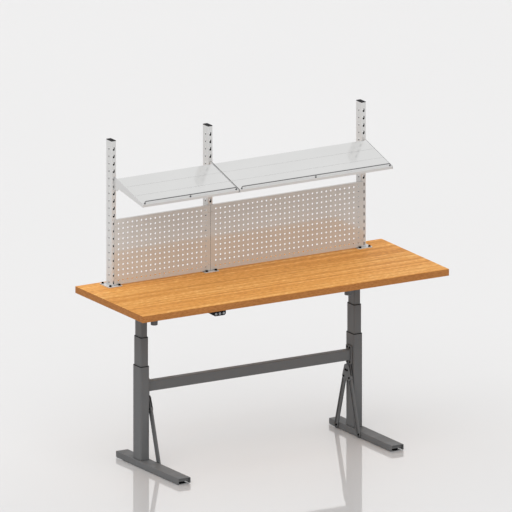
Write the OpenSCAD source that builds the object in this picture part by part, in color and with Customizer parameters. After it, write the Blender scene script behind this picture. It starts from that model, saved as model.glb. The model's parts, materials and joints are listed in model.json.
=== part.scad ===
// Height-adjustable workbench desk with slotted posts, perforated panels and tilted shelves.
// Millimetres. Origin on the floor under the middle of the worktop: X along it, Y to its back, Z up.

/* [Worktop] */
// Length of the worktop
top_l = 2000; // [1900:10:2400]
// Depth of the worktop
top_d = 750; // [740:10:900]
// Thickness of the worktop
top_t = 40; // [30:1:45]
// Height of the worktop's upper face as it is set here
top_z = 1035; // [1000:5:1100]
// Radius of the worktop's edges
top_r = 3; // [1:0.5:5]

/* [Lift] */
// Lowest height of the worktop's upper face
desk_low = 745; // [740:5:760]

/* [Feet] */
// Width of a foot
foot_w = 80; // [72:1:100]
// Length of a foot in front of the desk's middle line
foot_front = 320; // [280:5:360]
// Length of a foot behind the desk's middle line
foot_back = 372; // [340:1:374]
// Height of a foot's upper face
foot_h = 38; // [36:1:45]
// Sheet thickness of a foot
foot_wall = 3; // [2:0.5:4]
// Gap between a foot's side walls and the floor
foot_lift = 3; // [2:0.5:5]
// Outer bend radius along a foot's upper edges
foot_r = 5; // [4:0.5:8]
// Radius of a foot's front lower corners
foot_front_r = 8; // [5:1:12]
// Radius of a foot's back lower corners
foot_back_r = 8; // [5:1:12]
// Distance from a foot's ends back to its end flaps
flap_set = 12; // [6:1:13]
// Height of the end flaps' lower edge
flap_z = 16; // [15:0.5:22]

/* [Glides] */
// Distance from a foot's end to its glide
glide_inset = 37; // [30:1:50]
// Radius of a glide's pad
glide_r = 20; // [16:1:24]
// Thickness of a glide's pad
glide_h = 8; // [6:0.5:9]
// Radius of a glide's threaded stem
stem_r = 5; // [4:0.5:6]
// Height of a glide's stem end above the floor
stem_top = 32; // [30:0.5:33]
// Lower end of the threaded boss that takes a glide
boss_z = 14; // [12:0.5:16]
// Outer radius of that boss
boss_r = 11; // [9:0.5:13]

/* [Columns] */
// Distance from the worktop's ends to the columns' middle lines
leg_inset = 305; // [280:5:340]
// Position of the columns towards the back
leg_y = 161; // [140:1:180]
// Width of an outer tube
outer_w = 58; // [56:1:66]
// Depth of an outer tube
outer_d = 88; // [84:1:96]
// How much each stage is narrower than the one round it
stage_step = 8; // [7.5:0.5:9]
// Wall of the column tubes
tube_wall = 2; // [1.5:0.5:2.5]
// Outer corner radius of the column tubes
tube_r = 8; // [6:0.5:9]
// Height of the outer tubes' upper end
outer_top = 580; // [570:1:590]
// Lower end of the middle tubes when the desk is lowest
middle_low = 69; // [66:1:75]
// Length of the middle tubes
middle_len = 535; // [520:1:540]
// Lower end of the inner tubes when the desk is lowest
inner_low = 103; // [95:1:110]
// Thickness of the plate welded into an outer tube's foot
plate_h = 10; // [8:1:14]
// Length of the plastic guides
guide_len = 60; // [40:1:80]
// Thickness of a guide's collar over a tube's end
guide_lip = 3; // [2:0.5:4]
// Sliding gap between moving parts
slide_gap = 0.3; // [0.2:0.05:0.4]

/* [Spindles] */
// Outer radius of the fixed spindle tube
fixed_r = 15; // [14.5:0.5:16]
// Inner radius of the fixed spindle tube
fixed_bore_r = 13; // [12.5:0.1:13.5]
// Height of the fixed spindle tube's upper end
fixed_top = 542; // [530:1:543]
// Outer radius of the hollow screw
hollow_r = 12; // [11.5:0.1:12.3]
// Inner radius of the hollow screw
hollow_bore_r = 9.5; // [9:0.1:10]
// Length of the hollow screw
hollow_len = 500; // [498:1:510]
// Radius of the solid screw
screw_r = 8; // [7:0.1:8.5]
// Height of the solid screw's lower end when the desk is lowest
screw_low = 150; // [120:1:170]
// Outer radius of the spindle nuts
nut_r = 17; // [16.5:0.1:18]
// Height of the spindle nuts
nut_h = 24; // [18:1:24]

/* [Crossbar] */
// Height of the crossbar's section
bar_h = 60; // [50:1:64]
// Depth of the crossbar's section
bar_d = 40; // [30:1:50]
// Wall of the crossbar
bar_wall = 2; // [1.5:0.5:3]
// Height of the crossbar's middle line
bar_z = 458; // [450:1:462]
// Thickness of the crossbar's end plates
end_t = 8; // [7:0.5:10]
// Width of the end plates
end_w = 60; // [50:1:70]
// Height of the end plates
end_h = 104; // [100:1:108]
// Distance between the two rows of end plate screws
end_screw_h = 84; // [82:1:86]
// Distance between the two end plate screws of a row
end_screw_w = 28; // [20:1:34]
// Corner radius of the end plates
end_r = 4; // [2:0.5:6]
// Distance from the crossbar's middle line down to the lug bolt
lug_drop = 89; // [86:1:92]
// Radius of the lug's round end
lug_r = 18; // [17:0.5:20]
// Distance from the column's middle line to the two lug bolts
lug_bolt_y = 9; // [8.5:0.5:10]

/* [Braces] */
// Thickness of the gusset plates
gusset_t = 3; // [2.5:0.5:5]
// Radius of a gusset's round corners
gusset_r = 17; // [14:1:18]
// Height of a gusset's upper corners above the lug bolts
gusset_rise = 16; // [10:1:20]
// Distance from the column's middle line to a gusset's lower bolts
gusset_y = 30; // [28:1:36]
// Distance from the lug bolts down to a gusset's lower bolts
gusset_drop = 41; // [40:1:46]
// Radius of the sleeves between a gusset's two plates
sleeve_r = 7.5; // [6.5:0.5:8]
// Distance from the column's middle line to a brace's lower bolt
brace_y = 124; // [110:1:130]
// Height of a brace's lower bolt
brace_z = 20; // [17:1:22]
// Width of the pressed braces
brace_w = 34; // [28:1:36]
// Height of a brace's rim
brace_h = 8; // [8:0.5:10]
// Sheet thickness of a brace
brace_t = 2.5; // [2:0.5:3]

/* [Bolts] */
// Radius of the large bolts
bolt_r = 4; // [3:0.5:4]
// Radius of the large bolts' heads and nuts
bolt_head_r = 6.5; // [6:0.5:7]
// Height of the large bolts' heads
bolt_head_h = 5; // [3:0.5:5]
// Radius of the end plate screws
small_r = 3; // [2.5:0.5:3.5]
// Radius of the end plate screws' heads
small_head_r = 5.5; // [4.5:0.5:5.8]
// Height of the end plate screws' heads
small_head_h = 3.3; // [2:0.1:4]
// Gap round a screw in its hole
bolt_gap = 0.2; // [0.1:0.05:0.3]

/* [Support arms] */
// Width of a support arm
arm_w = 60; // [58:1:66]
// Sheet thickness of a support arm
arm_t = 3; // [2:0.5:3.5]
// Depth of a support arm at the column
arm_h = 48; // [46:1:50]
// Depth of a support arm at its front end
arm_front_h = 10; // [8:1:14]
// Depth of a support arm at its back end
arm_back_h = 15; // [8:1:20]
// Distance of a support arm's ends from the desk's middle line
arm_reach = 330; // [310:1:350]
// Length of the deep stretch round the column
arm_deep = 122; // [110:1:130]
// Thickness of the plate that holds the column's head
head_t = 8; // [6:0.5:10]
// Depth of the longitudinal rails
rail_h = 20; // [16:1:24]
// Width of the longitudinal rails
rail_w = 40; // [30:1:50]
// Wall of the longitudinal rails
rail_wall = 2; // [1.5:0.5:3]
// Position of the front rail
front_rail_y = 20; // [0:1:40]
// Position of the back rail
back_rail_y = 280; // [260:1:300]

/* [Drive] */
// Radius of a motor
motor_r = 27; // [24:0.5:28]
// Radius of a motor's end cap
motor_cap_r = 20; // [16:0.5:22]
// Height of that end cap
motor_cap_h = 24; // [15:1:40]
// How far a motor hangs below the worktop
motor_h = 177; // [170:1:183]
// Distance from the column's middle line to the motor along the desk
motor_x = 63; // [62:0.5:66]
// Distance from the column's middle line to the motor towards the front
motor_y = 38; // [20:1:45]
// Height of the gearbox on a column's inner tube
gear_h = 37; // [34:1:38]
// Radius of the neck between gearbox and motor
neck_r = 12; // [8:0.5:13]

/* [Control box] */
// Length of the control box
box_l = 260; // [200:5:320]
// Depth of the control box
box_d = 90; // [70:1:100]
// Height of the control box
box_h = 38; // [30:1:45]
// Position of the control box along the desk
box_x = 250; // [150:5:300]
// Position of the control box towards the back
box_y = 170; // [150:1:180]
// Corner radius of the control box
box_r = 6; // [4:0.5:10]
// Thickness of the control box's ears
ear_t = 3; // [2:0.5:4]
// Length of the control box's ears
ear_l = 20; // [16:1:30]

/* [Handset] */
// Position of the handset along the desk
hand_x = -495; // [-560:1:-400]
// Width of the handset
hand_w = 78; // [76:1:90]
// Length of the handset
hand_l = 76; // [70:1:90]
// Height of the handset's front face
hand_h = 26; // [24:0.5:30]
// Height of the handset's back end
hand_back_h = 20; // [16:0.5:22]
// Radius of the handset's lower corners
hand_r = 12; // [9:0.5:12]
// Wall of the handset
hand_wall = 2; // [1.5:0.5:2.5]
// Radius of a button
button_r = 7.3; // [6:0.1:8]
// Distance between buttons
button_pitch = 25; // [20:0.5:26]
// How far a button stands out
button_out = 2; // [1.6:0.1:3]
// Length of a button
button_l = 6; // [5:0.5:8]

/* [Posts] */
// Width of a post
post_w = 30; // [28:1:36]
// Depth of a post
post_d = 60; // [54:1:66]
// Wall of a post
post_wall = 2; // [1.5:0.5:2.5]
// Outer corner radius of a post
post_r = 3; // [2.6:0.1:5]
// Height of the posts above the worktop
post_h = 846; // [830:1:900]
// Distance from the worktop's ends to the outer posts
post_inset = 185; // [150:5:220]
// Position of the middle post along the desk
post_mid = -185; // [-260:5:0]
// Distance from the posts' backs to the worktop's back edge
post_back = 55; // [50:1:70]
// Width of a post's base plate
base_w = 90; // [84:1:100]
// Depth of a post's base plate
base_d = 105; // [100:1:112]
// Thickness of a post's base plate
base_t = 5; // [4:0.5:6]
// Distance between base screws across the post
base_screw_w = 60; // [52:1:70]
// Distance between base screws along the plate's depth
base_screw_d = 85; // [84:1:90]
// Height of the lowest slots above the worktop
slot_z = 23; // [20:0.5:28]
// Distance between slots up a post
slot_pitch = 43.2; // [40:0.1:48]
// Width of the slots in a post's front and back
slot_w = 12; // [11:0.5:14]
// Height of the slots in a post's front and back
slot_h = 22; // [20:0.5:24]
// Width of the slots in a post's sides
side_slot_w = 11; // [9:0.5:14]
// Height of the slots in a post's sides
side_slot_h = 18; // [16:0.5:22]
// Depth of a post's cap inside the tube
cap_h = 18; // [12:1:24]
// Thickness of a post's cap on top of the tube
cap_t = 3; // [2:0.5:5]

/* [Panels] */
// Height of the perforated panels
panel_h = 380; // [350:5:400]
// Height of the panels' lower edge above the worktop
panel_z = 7.5; // [6:0.5:12]
// Sheet thickness of the panels
panel_t = 2; // [1.5:0.1:2.5]
// Depth of the folds along the panels' long edges
panel_fold = 14; // [8:1:20]
// Gap between the two panels
panel_gap = 2; // [1:0.5:4]
// Diameter of the perforations
hole_d = 10.4; // [6:0.1:14]
// Distance between perforations
hole_pitch = 30; // [20:1:40]
// Least distance from a panel's edge to the nearest row
hole_margin = 20; // [18:1:26]
// Radius of the screws that hold the panels
panel_screw_r = 1.5; // [1:0.1:1.6]
// Height of their heads
panel_head_h = 1.4; // [1:0.1:2]
// Depth of those screws behind a post's wall
panel_bite = 4; // [3:0.5:8]

/* [Shelves] */
// Height of the shelves' front edge above the worktop
shelf_z = 552; // [545:1:556]
// Distance from the shelves' front edge to the posts
shelf_reach = 325; // [320:1:330]
// Depth of the shelves along their slope
shelf_d = 305; // [295:1:306]
// Tilt of the shelves down to the front
shelf_tilt = 16; // [15:0.5:16.5]
// Sheet thickness of the shelves
shelf_t = 1.5; // [1:0.1:2]
// Height of the shelves' folded front and back edges
shelf_lip = 18; // [15:0.5:18]
// Height of the shelves' folded ends
shelf_side = 12; // [8:1:14]
// Outer bend radius along the shelves' edges
shelf_r = 3; // [2.5:0.5:4]
// Width of the relief notches at the creases' ends
notch_w = 5; // [3:0.5:8]
// Depth of those notches below the shelves' face
notch_h = 6; // [4:0.5:8]
// Width of the creases across the shelves
crease_w = 2.4; // [1:0.1:4]
// Depth of those creases
crease_h = 0.5; // [0.3:0.1:0.7]

/* [Shelf brackets] */
// Thickness of the shelf brackets
bracket_t = 2.5; // [2:0.1:2.5]
// Height of a bracket at the post
bracket_h = 78; // [74:1:82]
// Height of a bracket's lower back corner above the worktop
bracket_z = 563; // [560:0.5:564]
// Height of a bracket's front edge
bracket_front_h = 18; // [17:0.5:20]
// Depth of a bracket's heel
heel_l = 37; // [34:1:42]
// Height of the step at a bracket's heel
heel_h = 15; // [12:1:16]
// Gap between the two brackets on the middle post
bracket_gap = 5; // [3:0.5:5]
// Depth of a bracket's hooks behind the post's wall
hook_l = 5; // [3:0.5:7]
// How far a hook reaches down behind the post's wall
hook_drop = 7; // [4:0.5:9]

/* [Stop rails] */
// Radius of the wire of the stop rails
wire_r = 3; // [2:0.25:4]
// Height of the wire's middle line above the shelf
wire_z = 15; // [14:0.5:25]
// Bend radius of the wire's middle line
wire_bend = 8; // [6:0.5:10]
// Distance from the shelf's ends to the wire's legs
wire_inset = 13; // [10:1:30]
// Distance from the shelf's front edge to the wire
wire_y = 8; // [6:0.5:14]
// Length of the wire's legs below the shelf's face
wire_foot = 9; // [7:0.5:12]

/* [Wood screws] */
// Radius of the screws in the worktop
wood_r = 2.5; // [2:0.1:3]
// Radius of their heads
wood_head_r = 4.5; // [4:0.1:5]
// Height of their heads
wood_head_h = 2.5; // [2:0.1:3]
// Depth of those screws in the worktop
wood_bite = 16; // [12:1:16]
// Radius of the post base screws
base_screw_r = 4; // [3:0.5:4]
// Radius of the post base screws' heads
base_head_r = 6.5; // [5.5:0.5:7]
// Height of the post base screws' heads
base_head_h = 8; // [5:0.5:8]

/* [Hidden] */
$fn = 48;

// Distance from the desk's middle to each column
leg_x = top_l / 2 - leg_inset;

// Heights that follow from the lift
raised = top_z - desk_low;
top_under = top_z - top_t;
middle_z = middle_low + raised / 2;
gear_top = top_under - arm_t;
inner_top = gear_top - gear_h;
inner_z = inner_low + raised;
screw_z = screw_low + raised;

// Sections of the column stages
middle_w = outer_w - stage_step;
middle_d = outer_d - stage_step;
inner_w = middle_w - stage_step;
inner_d = middle_d - stage_step;

// Planes beside a column, counted from its middle line towards the desk's middle
column_face = outer_w / 2;
end_face = column_face + end_t;
gusset_face = end_face + gusset_t;
brace_face = gusset_face + brace_h;
cover_face = brace_face + gusset_t;
lug_z = bar_z - lug_drop;
gusset_z = lug_z - gusset_drop;
nut_t = bolt_head_h;

// Crossbar and rails between their ends
bar_half = leg_x - end_face;
rail_half = leg_x - arm_w / 2;

// Posts and what hangs on them
post_xs = [-top_l / 2 + post_inset, post_mid, top_l / 2 - post_inset];
post_y = top_d / 2 - post_back - post_d / 2;
post_front = post_y - post_d / 2;
slot_count = floor((post_h - slot_z - slot_h / 2 - cap_h / 4) / slot_pitch) + 1;
panel_spans = [
    [post_xs[0] + panel_gap / 2, post_xs[1] - panel_gap / 2],
    [post_xs[1] + panel_gap / 2, post_xs[2] - panel_gap / 2]
];
screw_rows = [slot_z + slot_pitch / 2, slot_z + 7.5 * slot_pitch];

// Shelves between their brackets
shelf_front = post_front - shelf_reach;
shelf_spans = [
    [post_xs[0] + bracket_t, post_xs[1] - bracket_gap / 2 - bracket_t],
    [post_xs[1] + bracket_gap / 2 + bracket_t, post_xs[2] - bracket_t]
];

// Seats of the screws that enter the worktop from below: X, Y and the height of the seat
arm_screw_ys = [-0.9 * arm_reach, -0.3 * arm_reach, 0.18 * arm_reach, 0.91 * arm_reach];
hand_screw_seat = 10;
hand_y = -top_d / 2 + button_out;
under_screws = concat(
    [for (s = [-1, 1], k = [-1, 1], y = arm_screw_ys) [s * leg_x + k * arm_w / 4, y, gear_top]],
    [for (s = [-1, 1], y = [front_rail_y, back_rail_y]) [s * rail_half / 2, y, top_under - rail_h]],
    [for (s = [-1, 1]) [box_x + s * (box_l / 2 + ear_l / 2), box_y, top_under - ear_t]],
    [for (s = [-1, 1]) [hand_x + s * hand_w / 3, hand_y + 0.7 * hand_l, top_under - hand_screw_seat]]
);
base_screws = [
    for (x = post_xs, s = [-1, 1], k = [-1, 1]) [x + s * base_screw_w / 2, post_y + k * base_screw_d / 2]
];

// Plain shapes
module rounded_rect(w, d, r) {
    square([w - 2 * r, d], center = true);
    square([w, d - 2 * r], center = true);
    for (x = [-1, 1], y = [-1, 1])
        translate([x * (w / 2 - r), y * (d / 2 - r)]) circle(r = r);
}

module rect_tube(w, d, r, t, h) {
    linear_extrude(h) difference() {
        rounded_rect(w, d, r);
        rounded_rect(w - 2 * t, d - 2 * t, r - t);
    }
}

// Ring between two rounded rectangles, for the plastic guides
module rect_ring(w, d, r, inner_w, inner_d, inner_r, h) {
    linear_extrude(h) difference() {
        rounded_rect(w, d, r);
        rounded_rect(inner_w, inner_d, inner_r);
    }
}

// Flat bar with round ends from point p to point q
module link_2d(p, q, w) {
    v = q - p;
    translate(p) {
        circle(d = w);
        rotate(atan2(v[1], v[0])) {
            translate([0, -w / 2]) square([norm(v), w]);
            translate([norm(v), 0]) circle(d = w);
        }
    }
}

// Rectangle of width w from height z0 to z1, with its upper corners rounded
module rounded_top_2d(w, z0, z1, r) {
    translate([-w / 2, z0]) square([w, z1 - z0 - r]);
    translate([-w / 2 + r, z0]) square([w - 2 * r, z1 - z0]);
    for (s = [-1, 1]) translate([s * (w / 2 - r), z1 - r]) circle(r = r);
}

// Upright slot with round ends
module slot_2d(w, h) {
    square([w, h - w], center = true);
    for (s = [-1, 1]) translate([0, s * (h - w) / 2]) circle(d = w);
}

// Places a shape beside a column: local +X points to the desk's middle, Y and Z are the desk's own
module at_side(side) {
    translate([side * leg_x, 0, 0]) {
        if (side < 0) children();
        else mirror([1, 0, 0]) children();
    }
}

// Extrudes an outline drawn in Y and Z along X, from x0 to x1
module along_x(x0, x1) {
    translate([x0, 0, 0]) rotate([90, 0, 90]) linear_extrude(x1 - x0) children();
}

// Round bar along X, from x0 to x1, at the given Y and Z
module bar_x(x0, x1, y, z, r, sides = $fn) {
    translate([x0, y, z]) rotate([0, 90, 0]) cylinder(r = r, h = x1 - x0, $fn = sides);
}

// Feet

module foot_outline() {
    top = foot_h + 1;
    translate([-foot_front + foot_front_r, foot_lift])
        square([foot_front + foot_back - foot_front_r - foot_back_r, top - foot_lift]);
    translate([-foot_front, foot_lift + foot_front_r]) square([foot_front, top - foot_lift - foot_front_r]);
    translate([0, foot_lift + foot_back_r]) square([foot_back, top - foot_lift - foot_back_r]);
    translate([-foot_front + foot_front_r, foot_lift + foot_front_r]) circle(r = foot_front_r);
    translate([foot_back - foot_back_r, foot_lift + foot_back_r]) circle(r = foot_back_r);
}

module foot_channel() {
    difference() {
        intersection() {
            translate([0, foot_back, 0]) rotate([90, 0, 0])
                linear_extrude(foot_front + foot_back) rounded_top_2d(foot_w, 0, foot_h, foot_r);
            along_x(-foot_w, foot_w) foot_outline();
        }
        translate([0, foot_back + 1, 0]) rotate([90, 0, 0])
            linear_extrude(foot_front + foot_back + 2)
                rounded_top_2d(foot_w - 2 * foot_wall, -1, foot_h - foot_wall, foot_r - foot_wall);
    }
    for (y = [-foot_front + flap_set, foot_back - flap_set - foot_wall])
        translate([-foot_w / 2 + foot_wall / 2, y, flap_z])
            cube([foot_w - foot_wall, foot_wall, foot_h - foot_wall / 2 - flap_z]);
}

glide_ys = [-foot_front + glide_inset, foot_back - glide_inset];
foot_bolt_xs = [-outer_w / 4, outer_w / 4];
foot_bolt_ys = [leg_y - outer_d / 3, leg_y + outer_d / 3];

module foot(side) {
    color("#636363") at_side(side) difference() {
        union() {
            foot_channel();
            for (y = glide_ys)
                translate([0, y, boss_z]) cylinder(r = boss_r, h = foot_h - foot_wall / 2 - boss_z);
        }
        for (y = glide_ys)
            translate([0, y, boss_z - 1]) cylinder(r = stem_r + bolt_gap / 2, h = stem_top + 1.5 - boss_z);
        for (x = foot_bolt_xs, y = foot_bolt_ys)
            translate([x, y, foot_h - 2 * foot_wall]) cylinder(r = bolt_r + bolt_gap, h = 3 * foot_wall);
        for (k = [-1, 1])
            bar_x(foot_w / 2 - 2 * foot_wall, foot_w / 2 + 1, leg_y + k * brace_y, brace_z, bolt_r + bolt_gap);
    }
}

module glide(side, y) {
    neck_top = boss_z - slide_gap;
    color("#1c1c1c") at_side(side) translate([0, y, 0]) {
        cylinder(r1 = glide_r - 2, r2 = glide_r, h = 2);
        translate([0, 0, 2]) cylinder(r = glide_r, h = glide_h - 3);
        translate([0, 0, glide_h - 1]) cylinder(r1 = glide_r, r2 = glide_r - 3, h = 1);
        translate([0, 0, glide_h / 2]) cylinder(r = boss_r - 1, h = neck_top - glide_h / 2, $fn = 6);
        translate([0, 0, glide_h / 2]) cylinder(r = stem_r, h = stem_top - glide_h / 2);
    }
}

module foot_bolts() {
    under = foot_h - foot_wall;
    color("#1c1c1c") for (side = [-1, 1]) at_side(side) for (x = foot_bolt_xs, y = foot_bolt_ys)
        translate([x, y, 0]) {
            translate([0, 0, under - bolt_head_h]) cylinder(r = bolt_head_r, h = bolt_head_h, $fn = 6);
            translate([0, 0, under - 1]) cylinder(r = bolt_r, h = foot_wall + plate_h + 0.5);
        }
}

// Columns

end_screws = [
    for (y = [-1, 1], z = [-1, 1]) [leg_y + y * end_screw_w / 2, bar_z + z * end_screw_h / 2]
];

module outer_tube(side) {
    color("#636363") at_side(side) difference() {
        union() {
            translate([0, leg_y, foot_h]) rect_tube(outer_w, outer_d, tube_r, tube_wall, outer_top - foot_h);
            translate([0, leg_y, foot_h]) linear_extrude(plate_h)
                rounded_rect(outer_w - tube_wall, outer_d - tube_wall, tube_r - tube_wall / 2);
        }
        for (x = foot_bolt_xs, y = foot_bolt_ys)
            translate([x, y, foot_h - 1]) cylinder(r = bolt_r + bolt_gap, h = plate_h + 2);
        for (p = end_screws)
            bar_x(column_face - 2 * tube_wall, column_face + 1, p[0], p[1], small_r + bolt_gap);
    }
}

// Guide in the mouth of a tube of the given outer size, with a collar over the tube's end
module mouth_guide(w, d, top) {
    bore_w = w - stage_step + 2 * slide_gap;
    bore_d = d - stage_step + 2 * slide_gap;
    translate([0, leg_y, top - guide_len])
        rect_ring(w - 2 * tube_wall, d - 2 * tube_wall, tube_r - tube_wall, bore_w, bore_d, tube_r, guide_len);
    translate([0, leg_y, top]) rect_ring(w, d, tube_r, bore_w, bore_d, tube_r, guide_lip);
}

// Guide round the lower end of a tube of the given outer size, sliding in the tube round it
module end_guide(w, d, bottom) {
    ring_w = w + stage_step - 2 * tube_wall - 2 * slide_gap;
    ring_d = d + stage_step - 2 * tube_wall - 2 * slide_gap;
    ring_r = tube_r - tube_wall;
    translate([0, leg_y, bottom]) rect_ring(ring_w, ring_d, ring_r, w, d, tube_r, guide_len);
    translate([0, leg_y, bottom - guide_lip])
        rect_ring(ring_w, ring_d, ring_r, w - 2 * tube_wall, d - 2 * tube_wall, tube_r - tube_wall, guide_lip);
}

module outer_guides() {
    color("#1c1c1c") for (side = [-1, 1]) at_side(side) mouth_guide(outer_w, outer_d, outer_top);
}

module middle_tube(side) {
    color("#636363") at_side(side) translate([0, leg_y, middle_z])
        rect_tube(middle_w, middle_d, tube_r, tube_wall, middle_len);
}

module middle_guides(side) {
    color("#1c1c1c") at_side(side) {
        mouth_guide(middle_w, middle_d, middle_z + middle_len);
        end_guide(middle_w, middle_d, middle_z);
    }
}

module inner_tube(side) {
    color("#636363") at_side(side) translate([0, leg_y, inner_z])
        rect_tube(inner_w, inner_d, tube_r, tube_wall, inner_top - inner_z);
}

module inner_guides() {
    color("#1c1c1c") for (side = [-1, 1]) at_side(side) end_guide(inner_w, inner_d, inner_z);
}

// Telescopic spindle: a fixed tube with a nut, a hollow screw with a nut, and a solid screw

module nut_tube(r, bore_r, nut_bore_r, z0, z1) {
    difference() {
        union() {
            translate([0, leg_y, z0]) cylinder(r = r, h = z1 - z0);
            translate([0, leg_y, z1 - nut_h]) cylinder(r = nut_r, h = nut_h);
        }
        translate([0, leg_y, z0 - 1]) cylinder(r = bore_r, h = z1 - nut_h - z0 + 1);
        translate([0, leg_y, z0 - 1]) cylinder(r = nut_bore_r, h = z1 - z0 + 2);
    }
}

module fixed_spindle_tubes() {
    color("#9a9a9a") for (side = [-1, 1]) at_side(side)
        nut_tube(fixed_r, fixed_bore_r, hollow_r + slide_gap, foot_h + plate_h, fixed_top);
}

module hollow_screw(side) {
    color("#b0b0b0") at_side(side)
        nut_tube(hollow_r, hollow_bore_r, screw_r + slide_gap, middle_z, middle_z + hollow_len);
}

module solid_screws() {
    color("#b0b0b0") for (side = [-1, 1]) at_side(side)
        translate([0, leg_y, screw_z]) cylinder(r = screw_r, h = inner_top + gear_h / 2 - screw_z);
}

module drive_unit(side) {
    motor_z = top_under - motor_h;
    cone_h = motor_r - motor_cap_r;
    head = [motor_x, leg_y];
    color("#565759") at_side(side) difference() {
        union() {
            translate([0, leg_y, inner_top]) linear_extrude(gear_h) rounded_rect(inner_w, inner_d, tube_r);
            bar_x(inner_w / 2 - 1, motor_x, leg_y, inner_top + gear_h / 2, neck_r);
            translate([0, 0, inner_top]) linear_extrude(gear_h) link_2d(head, head - [0, motor_y], 2 * motor_r - 2);
            translate([motor_x, leg_y - motor_y, motor_z]) {
                cylinder(r1 = motor_cap_r - 2, r2 = motor_cap_r, h = 2);
                translate([0, 0, 2]) cylinder(r = motor_cap_r, h = motor_cap_h);
                translate([0, 0, motor_cap_h]) cylinder(r1 = motor_cap_r, r2 = motor_r, h = cone_h);
                translate([0, 0, motor_cap_h + cone_h])
                    cylinder(r = motor_r, h = inner_top - motor_z - motor_cap_h - cone_h + 1);
            }
        }
        translate([0, leg_y, inner_top - 1]) cylinder(r = screw_r + slide_gap / 3, h = gear_h / 2 + 1.3);
    }
}

// Crossbar with its end plates, and the braces

module crossbar() {
    color("#5d5d5d") difference() {
        union() {
            along_x(-bar_half, bar_half) translate([leg_y, bar_z]) difference() {
                rounded_rect(bar_d, bar_h, 2 * bar_wall);
                rounded_rect(bar_d - 2 * bar_wall, bar_h - 2 * bar_wall, bar_wall);
            }
            for (side = [-1, 1]) at_side(side) along_x(column_face, end_face) {
                translate([leg_y, bar_z]) rounded_rect(end_w, end_h, end_r);
                link_2d([leg_y, bar_z], [leg_y, lug_z], 2 * lug_r);
            }
        }
        for (side = [-1, 1]) at_side(side) {
            for (p = end_screws) bar_x(column_face - 1, end_face + 1, p[0], p[1], small_r + bolt_gap);
            for (s = [-1, 1])
                bar_x(column_face - 1, end_face + 1, leg_y + s * lug_bolt_y, lug_z, bolt_r + bolt_gap);
        }
    }
}

module crossbar_screws() {
    color("#1c1c1c") for (side = [-1, 1]) at_side(side) for (p = end_screws) {
        bar_x(column_face - tube_wall + slide_gap, end_face + 1, p[0], p[1], small_r);
        bar_x(end_face, end_face + small_head_h, p[0], p[1], small_head_r);
    }
}

// Centres of a gusset's four round corners, in Y and Z
gusset_corners = [
    [leg_y - lug_bolt_y, lug_z + gusset_rise], [leg_y + lug_bolt_y, lug_z + gusset_rise],
    [leg_y + gusset_y, gusset_z], [leg_y - gusset_y, gusset_z]
];

// Two plates that hold the braces' upper ends between them, on the crossbar's lug
module gusset(side) {
    color("#5d5d5d") at_side(side) difference() {
        union() {
            for (x = [end_face, brace_face]) along_x(x, x + gusset_t) {
                polygon(gusset_corners);
                for (i = [0:3]) link_2d(gusset_corners[i], gusset_corners[(i + 1) % 4], 2 * gusset_r);
            }
            for (s = [-1, 1]) bar_x(end_face + 1, cover_face - 1, leg_y + s * lug_bolt_y, lug_z, sleeve_r);
        }
        for (s = [-1, 1]) {
            bar_x(end_face - 1, cover_face + 1, leg_y + s * lug_bolt_y, lug_z, bolt_r + bolt_gap);
            bar_x(end_face - 1, cover_face + 1, leg_y + s * gusset_y, gusset_z, bolt_r + bolt_gap);
        }
    }
}

// Pressed brace from the gusset to the foot, with a rim all round: k is -1 at the front and 1 at the back
module brace(side, k) {
    run = [k * (brace_y - gusset_y), brace_z - gusset_z];
    len = norm(run);
    color("#5d5d5d") at_side(side) translate([gusset_face, leg_y + k * gusset_y, gusset_z])
        rotate([atan2(run[1], run[0]), 0, 0]) difference() {
            along_x(0, brace_h) link_2d([0, 0], [len, 0], brace_w);
            along_x(brace_t, brace_h + 1) link_2d([0, 0], [len, 0], brace_w - 2 * brace_t);
            for (y = [0, len]) bar_x(-1, brace_h, y, 0, bolt_r + bolt_gap);
        }
}

module brace_bolts() {
    web_face = gusset_face + brace_t;
    inside = foot_w / 2 - foot_wall;
    color("#1c1c1c") for (side = [-1, 1]) at_side(side) for (k = [-1, 1]) {
        bar_x(column_face + slide_gap, cover_face + 1, leg_y + k * lug_bolt_y, lug_z, bolt_r);
        bar_x(cover_face, cover_face + bolt_head_h, leg_y + k * lug_bolt_y, lug_z, bolt_head_r);
        bar_x(end_face - nut_t, end_face, leg_y + k * gusset_y, gusset_z, bolt_head_r, 6);
        bar_x(end_face - nut_t, cover_face + 1, leg_y + k * gusset_y, gusset_z, bolt_r);
        bar_x(cover_face, cover_face + bolt_head_h, leg_y + k * gusset_y, gusset_z, bolt_head_r);
        bar_x(inside - nut_t, inside, leg_y + k * brace_y, brace_z, bolt_head_r, 6);
        bar_x(inside - nut_t, web_face + 1, leg_y + k * brace_y, brace_z, bolt_r);
        bar_x(web_face, web_face + bolt_head_h, leg_y + k * brace_y, brace_z, bolt_head_r);
    }
}

// Frame under the worktop

module arm_outline() {
    deep_0 = leg_y - arm_deep / 2;
    deep_1 = leg_y + arm_deep / 2;
    polygon([
        [-arm_reach, top_under], [-arm_reach, top_under - arm_front_h], [deep_0, top_under - arm_h],
        [deep_1, top_under - arm_h], [arm_reach, top_under - arm_back_h], [arm_reach, top_under]
    ]);
}

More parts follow.
